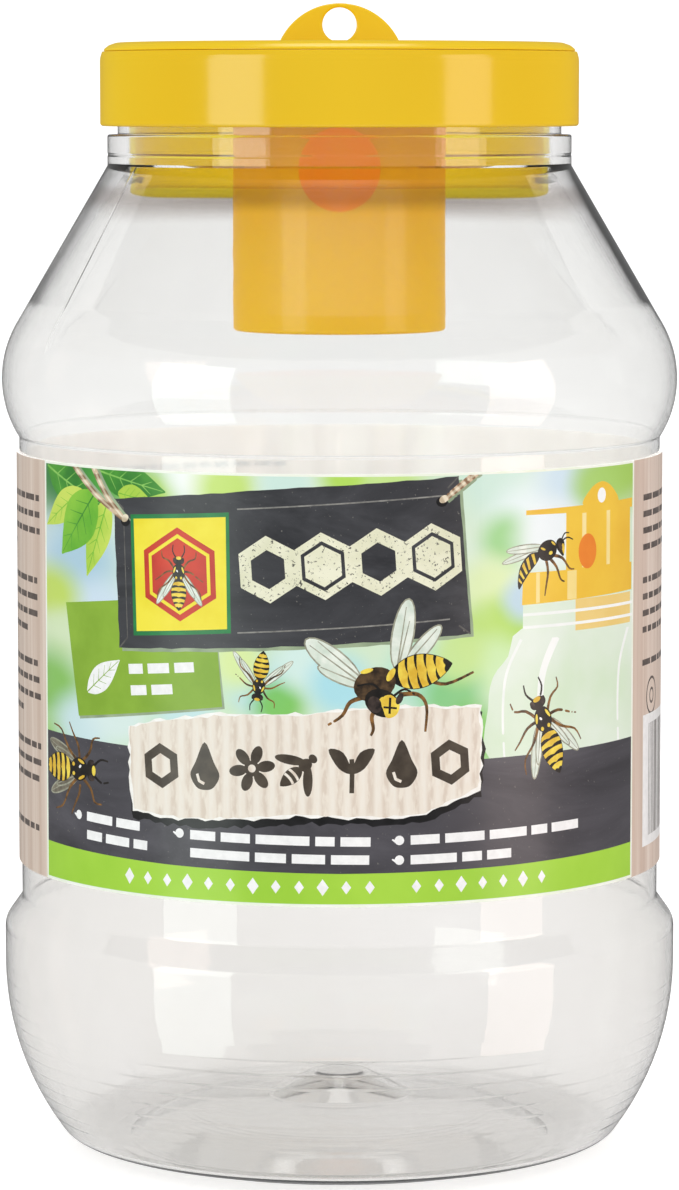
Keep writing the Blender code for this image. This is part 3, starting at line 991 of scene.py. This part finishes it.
def hanging_board(art, rng):
    """The slate board on its twine, with a plain emblem and a row of comb cells."""
    corners = [(-36.8, 59.6), (-7.9, 62.1), (17.9, 63.7), (18.9, 52), (19.9, 40.3),
               (-6.7, 38.8), (-35.8, 37.3), (-36.4, 48)]
    shadow = [(u + 0.5, v - 0.5) for u, v in corners]
    art.fill("board_shadow", torn(shadow, 0.08, rng, 2))
    art.fill("slate", torn(corners, 0.1, rng, 2))
    inner = [(-34.9, 58.2), (-7.8, 60.5), (16.2, 62), (18, 41.6), (-6.6, 40.2), (-34.2, 38.9)]
    for corner, near in ((0, 0), (2, 2), (4, 3), (6, 5)):
        art.line("slate_edge", [corners[corner], inner[near]], 0.25)
    art.line("slate_edge", [inner[0], inner[5]], 0.18)
    art.line("slate_scratch", [(-15.3, 58.9), (15.4, 60.9)], 0.22)
    art.line("slate_scratch", [(-15.3, 40.6), (16.6, 42.6)], 0.22)
    emblem(art)
    comb_row(art)
    for start, end in (((-46.2, 64.2), (-34.7, 56.6)), ((-41.4, 64.2), (-34.3, 56.2)),
                       ((20.9, 64.2), (15.6, 60.2))):
        twine = [start, ((start[0] + end[0]) / 2 - 0.5, (start[1] + end[1]) / 2 - 0.3), end]
        dark = [(u + off, v) for (u, v), off in zip(twine, (0.5, 0.6, 0.5))]
        art.line("board_shadow", smooth_line(dark, 5), 1.2, 1)
        art.line("twine", smooth_line(twine, 6), 1.05, 0.85)
        art.line("twine_light", smooth_line(twine, 6), 0.45, 0.3)
    art.ovals(("ink_black", -34.5, 56.3, 0.9, 0.75, 0, 14),
              ("twine_light", -34.6, 56.8, 0.75, 0.55, 30, 12),
              ("ink_black", 15.3, 60, 0.9, 0.75, 0, 14),
              ("twine_light", 15.6, 60.4, 0.75, 0.55, 30, 12))


def emblem(art):
    """A yellow square with a green border round a plain comb cell and a wasp."""
    art.fill("emblem_green", [(-33.5, 57.4), (-16.6, 58.4), (-16.3, 40.5), (-33, 39.3)])
    art.fill("emblem_yellow", [(-32.9, 56.8), (-17.1, 57.7), (-16.9, 41.1), (-32.4, 40)])
    centre = (-24.8, 48.9)
    hexagons(art, centre, 2, (7, "emblem_red"), (6, "emblem_yellow"), (5.4, "emblem_red"))
    wasp_from_above(art, (centre[0], centre[1] - 0.6), 90, 4.2, 1.25)


def hexagons(art, at, heading, *layers):
    """Hexagons about one point: each layer is a reach and an ink."""
    corners = [(math.sin(TURN * k / 6), math.cos(TURN * k / 6)) for k in range(6)]
    for reach, ink in layers:
        art.fill(ink, placed(corners, at, heading, reach))


def comb_row(art):
    """Cream comb cells in the place of a word: open, full, open, full."""
    for index in range(4):
        inside = ((3.7, "slate"), (3.1, "cream")) if index % 2 else ((2.9, "slate"),)
        hexagons(art, (-10.6 + 8.2 * index, 50.1 + 0.6 * index), 4, (5, "cream"), *inside)


def green_tag(art, rng):
    """The green tag behind the board, with a plain leaf and two bars."""
    art.fill("board_shadow", [(-48.2, 42.8), (-19, 44.5), (-17.3, 29.2), (-44.9, 25.7)])
    art.fill("tag_green", [(-48.5, 43.1), (-36, 44.4), (-19, 44.8), (-17.7, 29.5),
                           (-45.2, 26.1)])
    leaf(art, "ink_white", (-43, 30), (-35.8, 35.4), 2, "tag_green")
    text_bars(art, "ink_white", (-34, 34.2), (-22.3, 35.2), 1.5, rng, 6)
    text_bars(art, "ink_white", (-33.6, 31), (-25, 31.8), 1.5, rng, 6)


def cardboard(art, rng):
    """The torn cardboard strip with a row of plain pictures in place of a word."""
    outline = [(-34.1, 25.8), (-26, 27.4), (-18, 28.6), (-5.4, 28.9), (2.9, 29.9),
               (12, 30), (21.7, 29.6), (22, 24), (21.5, 17), (13, 13.6),
               (7, 13.1), (-5.4, 13.5), (-16, 12.6), (-25, 12.2), (-33.5, 12.8),
               (-34, 19)]
    art.fill("ink_black", torn([(u + 0.2, v - 1) for u, v in outline], 0.35, rng))
    art.fill("card_edge", torn(outline, 0.28, rng))
    centre = (-6, 21)
    inside = [(centre[0] + (u - centre[0]) * 0.988, centre[1] + (v - centre[1]) * 0.955)
              for u, v in outline]
    art.fill("cardboard", torn(inside, 0.22, rng))
    pictures = ((comb_cell, 3.4), (drop, 3.3), (flower, 3.5), (silhouette, 3.6), (leaf_pair, 3.5),
                (drop, 3.3), (comb_cell, 3.4))
    for index, (draw, reach) in enumerate(pictures):
        draw(art, (-28 + 7.45 * index, 20.1 + 0.2 * index), reach)


def comb_cell(art, at, reach):
    """A six-sided ring."""
    hexagons(art, at, 4, (reach, "ink_brown"), (reach * 0.55, "cardboard"))


def drop(art, at, reach):
    """A drop of bait with a small light."""
    brush = Brush(art, at, 0, reach)
    brush.fill("ink_brown", smooth_loop([
        (0, 1.15), (0.45, 0.25), (0.72, -0.35), (0.42, -0.9), (0, -1.02), (-0.42, -0.9),
        (-0.72, -0.35), (-0.45, 0.25)]))
    brush.line("cardboard", [(-0.38, -0.3), (-0.28, -0.62), (-0.02, -0.74)], 0.13)


def flower(art, at, reach):
    """A flower with six round petals."""
    brush = Brush(art, at, 0, reach)
    for tilt in range(10, 370, 60):
        turn = math.radians(tilt)
        brush.ovals(("ink_brown", 0.62 * math.cos(turn), 0.62 * math.sin(turn), 0.4, 0.24, tilt))
    brush.ovals(("ink_brown", 0, 0, 0.34, 0.34), ("cardboard", 0, 0, 0.17, 0.17))


def leaf_pair(art, at, reach):
    """Two leaves on a stalk."""
    brush = Brush(art, at, 0, reach)
    brush.line("ink_brown", [(0, -1.1), (0.02, -0.2), (0, 0.35)], 0.2)
    for side in (1, -1):
        brush.fill("ink_brown", smooth_loop([
            (0, -0.25), (side * 0.55, -0.05), (side * 0.98, 0.75), (side * 0.35, 0.62)]))


def silhouette(art, at, size):
    """A wasp's plain dark shape with light bands, flying up to the right."""
    brush = Brush(art, at, 40, size)
    for side in (1, -1):
        brush.ovals(("ink_brown", -0.12, side * 0.56, 0.66, 0.2, -50 * side))
    brush.fill("ink_brown", abdomen_outline())
    brush.ovals(("ink_brown", 0.22, 0, 0.3, 0.25), ("ink_brown", 0.63, 0, 0.16, 0.2))
    for start in (0.28, 0.52):
        brush.fill("cardboard", abdomen_band(start, start + 0.1))


def lower_bands(art, rng):
    """The dark slate band with its lines of bars, and the bright green band."""
    art.fill("slate_band", [
        (-ART_REACH, 4.5), (-ART_REACH, 23), (-34.1, 22.6), (0, 21.5), (21.7, 21.5),
        (ART_REACH, 21.9), (ART_REACH, 4.5)])
    art.fill("green_band", [
        (-ART_REACH, 0.45), (-ART_REACH, 5.9), (-27, 5.3), (0, 5), (27, 5.2),
        (ART_REACH, 5.6), (ART_REACH, 0.45)])
    diamond = [(0, 1), (0.72, 0), (0, -1), (-0.72, 0)]
    for index in [*range(12), *range(13, 20)]:
        at = (-34 + 66.5 * index / 19, 2.95)
        art.fill("ink_white", placed(diamond, at, 0, 1 if index % 3 else 1.25))
    for u, v in ((-45.3, 11), (-24.8, 10.2), (8.9, 9.9), (8.9, 6.95)):
        art.ovals(("ink_white", u, v, 0.72, 0.72, 0, 14))
        art.line("ink_white", [(u - 0.3, v - 0.3), (u - 1.1, v + 0.15)], 0.5, 0.2)
    for start, end in (((-43.3, 11), (-32, 10.6)), ((-43.3, 8.2), (-30.6, 7.8)),
                       ((-23, 10.1), (4.6, 9.75)), ((-23, 7.4), (4.4, 7.05)),
                       ((10.6, 9.9), (40.4, 10.3)), ((10.6, 6.95), (28.6, 7.1))):
        text_bars(art, "ink_white", start, end, 1.4, rng, 9.5)


def trap_drawing(art):
    """A drawing of the trap itself with its tower pulled up."""
    art.fill("jar_haze", smooth_loop([
        (28.6, 40.6), (26.2, 36.6), (23.6, 33.6), (22.8, 29), (23.4, 21), (40, 20.5),
        (ART_REACH, 20.8), (ART_REACH, 32), (ART_REACH - 0.1, 40.4), (42, 40)], 3))
    for u, half in ((25.3, 0.5), (32, 1.4), (50, 0.7)):
        light = smooth_line([(u + 3.2, 39), (u + 0.6, 34), (u, 28), (u + 0.3, 21.5)], 5)
        art.line("jar_light", light, half, half * 0.7)
    art.fill("jar_haze", rectangle(28.8, 38.9, ART_REACH, 44.4))
    art.fill("trap_yellow_pale", rectangle(39.2, 39.6, 53.9, 44.3))
    art.fill("jar_light", *[rectangle(28.8, v, ART_REACH, v + 0.45) for v in (40.5, 42.4)])
    art.fill("trap_yellow", [(28.6, 44.1), (54.3, 44.6), (54.3, 48.8), (28.8, 48.9)])
    art.fill("trap_light", rectangle(37.4, 44.4, 39.4, 48.7), rectangle(31.2, 44.3, 31.9, 48.8))
    art.fill("trap_yellow", rectangle(37.1, 48.7, 53.7, 57.6))
    art.fill("trap_light", *[rectangle(u, 49, u + 0.95, 57.2) for u in (40.6, 46.6)])
    art.ovals(("trap_orange", 41.9, 51.4, 2.1, 2.65, 0, 26))
    art.fill("trap_yellow", [(29.3, 57.5), (54.4, 57.2), (54.4, 58.6), (29.3, 58.2)], smooth_loop([
        (41, 58.2), (42.4, 60.6), (45.3, 61.7), (48.2, 60.6), (49.6, 58.2)], 4))
    art.ovals(("jar_light", 45.3, 59.6, 1.05, 1.15, 0, 16))


def side_panels(art, rng):
    """Beige panels with lines of small bars that go on round the back."""
    line_gap = 2.55
    inner = ART_REACH + 0.5
    for first, last in ((-LABEL_REACH, -inner), (inner, LABEL_REACH + OVERLAP)):
        art.fill("beige", rectangle(first, 0, last, LABEL_HEIGHT))
    for first, last, lowest in ((-101, -57, 5), (59, 103, 32), (-150, -109, 22)):
        v = LABEL_HEIGHT - 6
        row = 0
        while v > lowest:
            if row % 5 != 4:
                end = last - (rng.uniform(4, 20) if row % 5 == 3 else rng.uniform(0, 1.5))
                text_bars(art, "ink_text", (first, v), (end, v), 0.95, rng, 5)
            row += 1
            v -= line_gap
    for ink, r, count in (("ink_text", 3, 30), ("beige", 2.6, 30), ("ink_text", 1.3, 20),
                          ("beige", 0.9, 20)):
        art.ovals((ink, 64, 27.2, r, r, 0, count))
    art.fill("ink_white", rectangle(59.5, 4, 90, 24.5))
    u = 62.5
    while u < 87:
        width = rng.choice((0.25, 0.25, 0.5, 0.75))
        art.fill("ink_text", rectangle(u, 5.5, u + width, 23))
        u += width + rng.choice((0.3, 0.3, 0.55))


def label_artwork():
    """All the label's shapes, from the background to the front."""
    rng = random.Random(7)
    art = Artwork()
    art.fill("pale_line", rectangle(-LABEL_REACH, 0, LABEL_REACH + OVERLAP, LABEL_HEIGHT))
    side_panels(art, rng)
    art.fill("garden", rectangle(-ART_REACH, 0.4, ART_REACH, LABEL_HEIGHT - 0.35))
    art.clip_to_last()
    for ink, base, tip, half, vein in (
            ("leaf_dark", (-54, 63.6), (-38, 58), 3.6, "leaf_vein"),
            ("leaf_dark", (-40.5, 63.7), (-27, 61), 2.8, "leaf_vein"),
            ("leaf_yellow", (-38, 59.5), (-43, 47.5), 2.6, "leaf_light"),
            ("leaf_yellow", (-44, 60.5), (-54.4, 54.5), 2.4, "leaf_light"),
            ("leaf_light", (-40.8, 60.4), (-49.6, 50.4), 3.9, "leaf_dark"),
            ("leaf_yellow", (-36, 60.5), (-29.5, 59.5), 1.8, "leaf_light")):
        leaf(art, ink, base, tip, half, vein)
    trap_drawing(art)
    green_tag(art, rng)
    hanging_board(art, rng)
    wasp_from_above(art, (-11.9, 33.6), 262, 3.9, 1.6)
    lower_bands(art, rng)
    cardboard(art, rng)
    wasp_from_above(art, (-46.8, 17.9), 2, 7.2, 0.75, "wing_dark")
    wasp_from_above(art, (33.2, 25.4), 112, 6.6, 1)
    wasp_from_side(art, (32.6, 51.4), 14, 5.6)
    wasp_in_flight(art)
    return art


# -------------------------------------------------------------- the label itself

def label_paint(name, roughness=0.36):
    """Printed plastic film: satin, with a thin clear coat and a faint ripple."""
    paint = Paint(name, roughness, IOR=1.45, Coat_Weight=0.25, Coat_Roughness=0.2)
    paint.bump(paint.noise(70.0, detail=1.0), 0.03, 0.3)
    return paint


def mottled(name, first, second, scale):
    """An ink that drifts between two colours."""
    paint = label_paint(name)
    paint.colour(paint.tones(paint.noise(scale, detail=4.0), (0.35, *first), (0.65, *second)))
    return paint.mat


def slate_print(name, dark, pale, smoke_and_painted_shade):
    """Dark slate with smoky streaks and a few fine pale specks."""
    paint = label_paint(name, 0.42)
    cloud = paint.noise(smoke_and_painted_shade, detail=6.0, roughness=0.65, stretch=(0.5, 0.5, 1.3), distortion=1.5)
    paler = [value + 14 for value in pale]
    body = paint.tones(cloud, (0.36, *dark), (0.56, *pale), (0.72, *paler))
    speck = paint.mask(paint.noise(2200.0, detail=2.0), 0.70, 0.76)
    paint.colour(paint.mix(speck, body, srgb(118, 116, 112)))
    return paint.mat


def distressed_print():
    """Cream ink worn through to the slate in small specks."""
    paint = label_paint("cream", 0.42)
    tone = paint.tones(paint.noise(260.0), (0.35, 226, 226, 196), (0.65, 240, 239, 214))
    worn = paint.mask(paint.noise(1900.0, detail=5.0, roughness=0.7), 0.56, 0.60, "CONSTANT")
    paint.colour(paint.mix(worn, tone, srgb(92, 92, 84)))
    return paint.mat


def cardboard_print():
    """Corrugated card: upright ridges, a paler patch and fibres."""
    paint = label_paint("cardboard", 0.5)
    ridges = paint.node("TexWave", Vector=paint.scaled_place((1, 0, 0.08)), Scale=140.0,
                        Distortion=1.2, Detail=2.0, Detail_Scale=0.4)
    ridges.bands_direction = "X"
    card = paint.tones(ridges.outputs["Fac"], (0.1, 221, 207, 192), (0.55, 233, 223, 210),
                       (0.9, 240, 233, 222))
    fibre = paint.mask(paint.noise(1500.0, detail=4.0, stretch=(1, 1, 0.3)), 0.42, 0.62)
    paint.colour(paint.mix(fibre, card, srgb(238, 229, 216)))
    return paint.mat


def beige_print():
    """The side panels' beige with upright paper streaks."""
    paint = label_paint("beige", 0.45)
    wide = paint.noise(330.0, detail=3.0, stretch=(1, 1, 0.015))
    fine = paint.noise(1300.0, detail=3.0, stretch=(1, 1, 0.03))
    tone = paint.tones(wide, (0.34, 206, 184, 168), (0.5, 224, 206, 192), (0.68, 234, 220, 208))
    share = paint.ramp(fine, [(0.40, BLACK), (0.64, (0.5, 0.5, 0.5, 1.0))])
    paint.colour(paint.mix(share, tone, srgb(206, 180, 164)))
    return paint.mat


GARDEN_BASE = (232, 243, 238)
GARDEN_BLOBS = [
    # u, v, reach, colour: soft lights and leaves that are out of focus
    (-55, 66, 15, (52, 140, 48)), (-46, 62, 9, (46, 130, 60)), (-36, 63, 8, (74, 168, 44)),
    (-30, 60, 6, (170, 215, 60)), (-22, 64, 6, (250, 252, 250)), (-17, 62, 7, (196, 228, 96)),
    (-8, 63, 6, (206, 235, 225)), (1, 64, 6, (176, 222, 60)), (8, 62, 7, (198, 232, 130)),
    (-45, 50, 10, (168, 203, 224)), (-40, 42, 8, (208, 226, 244)), (-53, 44, 7, (196, 222, 70)),
    (-50, 38, 6, (214, 232, 190)), (-54, 30, 9, (124, 192, 62)), (-51, 22, 6, (150, 205, 90)),
    (-44, 25, 7, (206, 230, 238)), (-36, 27, 7, (220, 238, 236)), (-24, 29, 7, (196, 228, 232)),
    (24, 63, 9, (206, 234, 222)), (30, 57, 8, (232, 246, 248)), (26, 54, 6, (150, 212, 130)),
    (38, 63, 8, (208, 230, 244)), (51, 64, 10, (158, 205, 60)), (44, 61, 6, (172, 214, 110)),
    (34, 54, 8, (240, 247, 250)), (23, 47, 7, (222, 240, 180)), (26, 41, 7, (170, 218, 64)),
    (29, 45, 5, (190, 216, 238)), (21, 40, 7, (190, 226, 120)), (24, 35, 7, (206, 238, 180)),
    (-12, 33, 7, (186, 226, 236)), (-15, 36, 6, (222, 240, 160)), (-9, 30, 6, (118, 200, 76)),
    (-5, 37, 7, (214, 240, 236)), (0, 33, 7, (168, 224, 238)), (12, 34, 8, (176, 228, 206)),
    (17, 31, 7, (132, 206, 128)), (21, 25, 7, (120, 200, 74)), (18, 37, 6, (204, 234, 150)),
]


def garden_print():
    """A garden far out of focus: soft round patches of leaf green, sky and light."""
    paint = label_paint("garden")
    flat = paint.scaled_place((1, 0, 1))
    drift = paint.noise(16.0, detail=2.0)
    colour = paint.tones(drift, (0.35, 206, 232, 196), (0.55, *GARDEN_BASE))
    for u, v, reach, tone in GARDEN_BLOBS:
        gap = paint.node("VectorMath")
        gap.operation = "DISTANCE"
        gap.inputs[1].default_value = (LABEL_R * math.sin(u / LABEL_R) * MM, 0.0,
                                       (LABEL_BOTTOM + v) * MM)
        paint.links.new(flat, gap.inputs[0])
        near = paint.node("MapRange", Value=gap.outputs["Value"], From_Min=reach * MM,
                          From_Max=reach * 0.25 * MM, To_Max=0.9)
        near.interpolation_type = "SMOOTHSTEP"
        colour = paint.mix(near.outputs["Result"], colour, srgb(*tone))
    paint.colour(colour)
    return paint.mat


def twine_print(name, dark, pale):
    """Twisted twine: slanting light and dark strands."""
    paint = label_paint(name, 0.6)
    strands = paint.node("TexWave", Vector=paint.place, Scale=330.0, Distortion=3.0)
    strands.bands_direction = "DIAGONAL"
    paint.colour(paint.tones(strands.outputs["Fac"], (0.2, *dark), (0.8, *pale)))
    return paint.mat


PLAIN_INKS = {
    "pale_line": ((238, 246, 226), (248, 250, 242), 300.0),
    "leaf_dark": ((52, 132, 44), (84, 168, 52), 160.0),
    "leaf_light": ((96, 178, 44), (142, 204, 60), 120.0),
    "leaf_yellow": ((158, 205, 56), (206, 226, 96), 120.0),
    "leaf_vein": ((120, 190, 80), (150, 208, 100), 400.0),
    "slate_edge": ((78, 76, 76), (108, 106, 102), 700.0),
    "slate_scratch": ((112, 111, 108), (150, 149, 144), 900.0),
    "board_shadow": ((140, 158, 128), (166, 184, 150), 300.0),
    "emblem_green": ((22, 120, 62), (30, 138, 72), 300.0),
    "emblem_red": ((192, 40, 26), (216, 62, 34), 160.0),
    "emblem_yellow": ((240, 222, 36), (247, 232, 58), 200.0),
    "tag_green": ((132, 172, 44), (146, 186, 56), 140.0),
    "card_edge": ((243, 240, 233), (252, 251, 248), 900.0),
    "green_band": ((158, 210, 52), (172, 220, 66), 60.0),
    "ink_white": ((240, 240, 240), (250, 250, 250), 900.0),
    "ink_black": ((18, 18, 20), (30, 29, 32), 600.0),
    "ink_brown": ((66, 56, 46), (84, 74, 62), 500.0),
    "ink_text": ((84, 72, 66), (112, 98, 90), 900.0),
    "wasp_black": ((16, 14, 12), (44, 38, 32), 420.0),
    "wasp_brown": ((48, 34, 20), (98, 74, 46), 900.0),
    "wasp_yellow": ((222, 178, 42), (248, 224, 84), 500.0),
    "wasp_eye": ((34, 26, 24), (78, 64, 58), 900.0),
    "wasp_leg": ((58, 40, 22), (150, 104, 46), 900.0),
    "wing": ((208, 222, 208), (236, 242, 232), 500.0),
    "wing_dark": ((104, 98, 84), (142, 134, 116), 700.0),
    "wing_vein": ((138, 138, 120), (176, 176, 156), 900.0),
    "trap_yellow": ((236, 186, 44), (244, 202, 60), 70.0),
    "trap_yellow_pale": ((238, 206, 120), (244, 216, 140), 90.0),
    "trap_light": ((246, 222, 140), (250, 232, 166), 120.0),
    "trap_orange": ((232, 122, 24), (240, 140, 36), 150.0),
    "jar_haze": ((214, 234, 206), (232, 242, 232), 50.0),
    "jar_light": ((240, 246, 242), (250, 252, 250), 200.0),
}


def label_inks():
    """Every ink of the artwork by name."""
    inks = {name: mottled(name, *spec) for name, spec in PLAIN_INKS.items()}
    inks["garden"] = garden_print()
    inks["slate"] = slate_print("slate", (44, 45, 50), (64, 65, 70), 55.0)
    inks["slate_band"] = slate_print("slate_band", (60, 58, 64), (80, 78, 85), 40.0)
    inks["cream"] = distressed_print()
    inks["cardboard"] = cardboard_print()
    inks["beige"] = beige_print()
    inks["twine"] = twine_print("twine", (146, 112, 84), (214, 190, 160))
    inks["twine_light"] = twine_print("twine_light", (196, 178, 150), (236, 224, 200))
    return inks


def label_backing():
    """The film's white inner face: half translucent, with a painted glow that stands in for light
    from outside shining through.
    """
    paint = label_paint("label_backing", 0.45)
    tone = paint.tones(paint.noise(200.0), (0.35, 244, 244, 242), (0.65, 250, 250, 249))
    paint.colour(tone)
    paint.mix_surface(0.5, paint.node("BsdfTranslucent", Color=tone))
    # Painted light: an emission makes the inner face glow.
    paint.fill(paint.shader, Emission_Color=(0.93, 0.98, 1.0, 1.0), Emission_Strength=1.25)
    return paint.mat


def signed_area(outline):
    """Twice an outline's area, positive where it runs anticlockwise."""
    return sum(a[0] * b[1] - b[0] * a[1] for a, b in zip(outline, outline[1:] + outline[:1]))


def contains(outline, u, v):
    """Whether a point lies inside a closed outline."""
    inside = False
    for (u0, v0), (u1, v1) in zip(outline, outline[1:] + outline[:1]):
        if (v0 > v) != (v1 > v) and u < u0 + (v - v0) * (u1 - u0) / (v1 - v0):
            inside = not inside
    return inside


def imprint(art):
    """Cut the flat label along every outline: points, triangles and each one's ink."""
    points = []
    faces = []
    edges = []
    for _, outline, _ in art.shapes:
        if signed_area(outline) < 0:
            outline = outline[::-1]
        faces.append(list(range(len(points), len(points) + len(outline))))
        points.extend(Vector(point) for point in outline)
    last_strip = math.ceil((LABEL_REACH + OVERLAP) / STRIP)
    for index in range(math.floor(-LABEL_REACH / STRIP), last_strip):
        edges.append((len(points), len(points) + 1))
        points.extend((Vector((index * STRIP, -1.0)), Vector((index * STRIP, LABEL_HEIGHT + 1))))
    flat, _, triangles, _, _, sources = delaunay_2d_cdt(points, edges, faces, 1, WELD)
    kept = []
    inks = []
    for triangle, source in zip(triangles, sources):
        if 0 not in source:
            continue
        middle = (flat[triangle[0]] + flat[triangle[1]] + flat[triangle[2]]) / 3
        for index in sorted(source, reverse=True):
            ink, outline, clip = art.shapes[index]
            if clip in source and contains(outline, middle.x, middle.y):
                break
        kept.append(triangle)
        inks.append(ink)
    return flat, kept, inks


def wrap_radius(u):
    """The label's outer radius: its end rises over its start behind the jar."""
    rise_start = LABEL_REACH - 4.0
    rise_length = 3.0
    share = min(max((u - rise_start) / rise_length, 0.0), 1.0)
    return LABEL_R + (LABEL_THICKNESS + 0.05) * share * share * (3 - 2 * share)


def drop_loose(shell):
    """Take away the points of a bmesh that no face uses."""
    loose = [vert for vert in shell.verts if not vert.link_faces]
    bmesh.ops.delete(shell, geom=loose, context="VERTS")


def wrap_label():
    """The printed film round the panel, white inside, with its overlap at the back."""
    flat, triangles, inks = imprint(label_artwork())
    front = -math.pi / 2
    verts = [turned(wrap_radius(u), LABEL_BOTTOM + v, front + u / LABEL_R) for u, v in flat]
    obj = add_mesh("wrap_label", verts, triangles)
    names = sorted(set(inks))
    obj.data.polygons.foreach_set("material_index", [names.index(ink) for ink in inks])
    edit_mesh(obj.data, drop_loose)
    film = label_inks()
    dress(obj, *[film[name] for name in names], label_backing())
    solid = obj.modifiers.new("film", "SOLIDIFY")
    solid.thickness = LABEL_THICKNESS * MM
    solid.offset = -1.0
    solid.material_offset = len(names)
    solid.material_offset_rim = len(names)
    apply_modifiers(obj)
    smooth(obj)
    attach(obj, "jar")
    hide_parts("label")
    return obj


# ------------------------------------------------------------------- the studio

VIEW_TARGET_Z = 86.4
VIEW_DISTANCE = 741.2
VIEW_TILT = math.radians(6.05)
VIEW_LENS = 142.2
COVE_R = 5000.0
COVE_HEIGHT = 3600.0
COVE_FILLET = 1200.0
ROOM_FILL = 0.86
# What a gloss mirrors: (height of the direction, from -1 below to 1 above; level).
ROOM_IN_GLOSS = ((-1.0, 0.95), (-0.55, 0.66), (-0.2, 0.22), (0.25, 0.22), (0.9, 0.26),
                 (0.975, 2.4))


def camera():
    """A long lens a little above the lid, looking slightly down at the front."""
    data = bpy.data.cameras.new("camera")
    data.lens = VIEW_LENS
    data.sensor_width = 36.0
    data.clip_start = 0.05
    data.clip_end = 50.0
    cam = add_object("camera", data)
    cam.location = Vector((0.0, -VIEW_DISTANCE * math.cos(VIEW_TILT),
                           VIEW_TARGET_Z + VIEW_DISTANCE * math.sin(VIEW_TILT))) * MM
    cam.rotation_euler = (math.pi / 2 - VIEW_TILT, 0.0, 0.0)
    bpy.context.scene.camera = cam


def backdrop():
    """A round white cove: the floor curves up into a wall on every side."""
    corners = [(0.0, 0.0, 0), (COVE_R, 0.0, COVE_FILLET), (COVE_R, COVE_HEIGHT, 0)]
    outline = filleted(corners, closed=False)
    obj = lathe("backdrop", list(reversed(outline)), closed=False, angles=even_angles(96))
    paint = Paint("studio_white", 0.9, Emission_Color=WHITE, Emission_Strength=0.55)
    paint.colour(paint.tones(paint.noise(3.0), (0.3, 226, 226, 226), (0.7, 230, 230, 230)))
    dress(obj, paint.mat)
    obj.visible_glossy = False
    obj.visible_diffuse = False


def softbox(name, azimuth, width, height, distance, centre_z, radiance, tint=(1.0, 1.0, 1.0)):
    """A soft lamp that shines at the trap from an azimuth off the front; sizes in metres."""
    data = bpy.data.lights.new(name, "AREA")
    data.shape = "RECTANGLE"
    data.size = width
    data.size_y = height
    data.energy = radiance * math.pi * width * height
    data.color = tint
    lamp = add_object(name, data)
    lamp.location = (distance * math.sin(azimuth), -distance * math.cos(azimuth), centre_z)
    aim = Vector((0.0, 0.0, VIEW_TARGET_Z * MM)) - lamp.location
    lamp.rotation_euler = aim.to_track_quat("-Z", "Y").to_euler()
    lamp.visible_camera = False


def room():
    """The room's light: even, but a gloss mirrors grey at eye level and white overhead."""
    world = bpy.data.worlds.new("studio")
    tree = Tree(world)
    direction = tree.node("SeparateXYZ", Vector=tree.node("TexCoord").outputs["Generated"])
    height = tree.node("MapRange", Value=direction.outputs["Z"], From_Min=-1.0)
    stops = [((z + 1) / 2, (level, level, level, 1.0)) for z, level in ROOM_IN_GLOSS]
    mirrored = tree.ramp(height.outputs["Result"], stops)
    glossy_ray = tree.node("LightPath").outputs["Is Glossy Ray"]
    colour = tree.mix(glossy_ray, (ROOM_FILL, ROOM_FILL, ROOM_FILL, 1.0), mirrored)
    tree.fill(tree.nodes["Background"], Color=colour)
    bpy.context.scene.world = world
    bpy.context.scene.view_settings.view_transform = "Standard"


def lights():
    """Two tall softboxes in front and a soft top lamp."""
    softbox("soft_left", math.radians(-50), 0.60, 1.2, 1.2, 0.07, 2.4, (0.90, 1.0, 0.94))
    softbox("soft_right", math.radians(63), 0.54, 1.2, 1.2, 0.07, 2.4, (0.95, 0.76, 0.68))
    softbox("soft_top", math.radians(180), 0.8, 0.8, 0.3, 1.8, 1.6)


camera()
backdrop()
room()
lights()
clear_jar()
wrap_label()
lid_ring()
lid_plug()
tower_tube()
roof_with_eye()
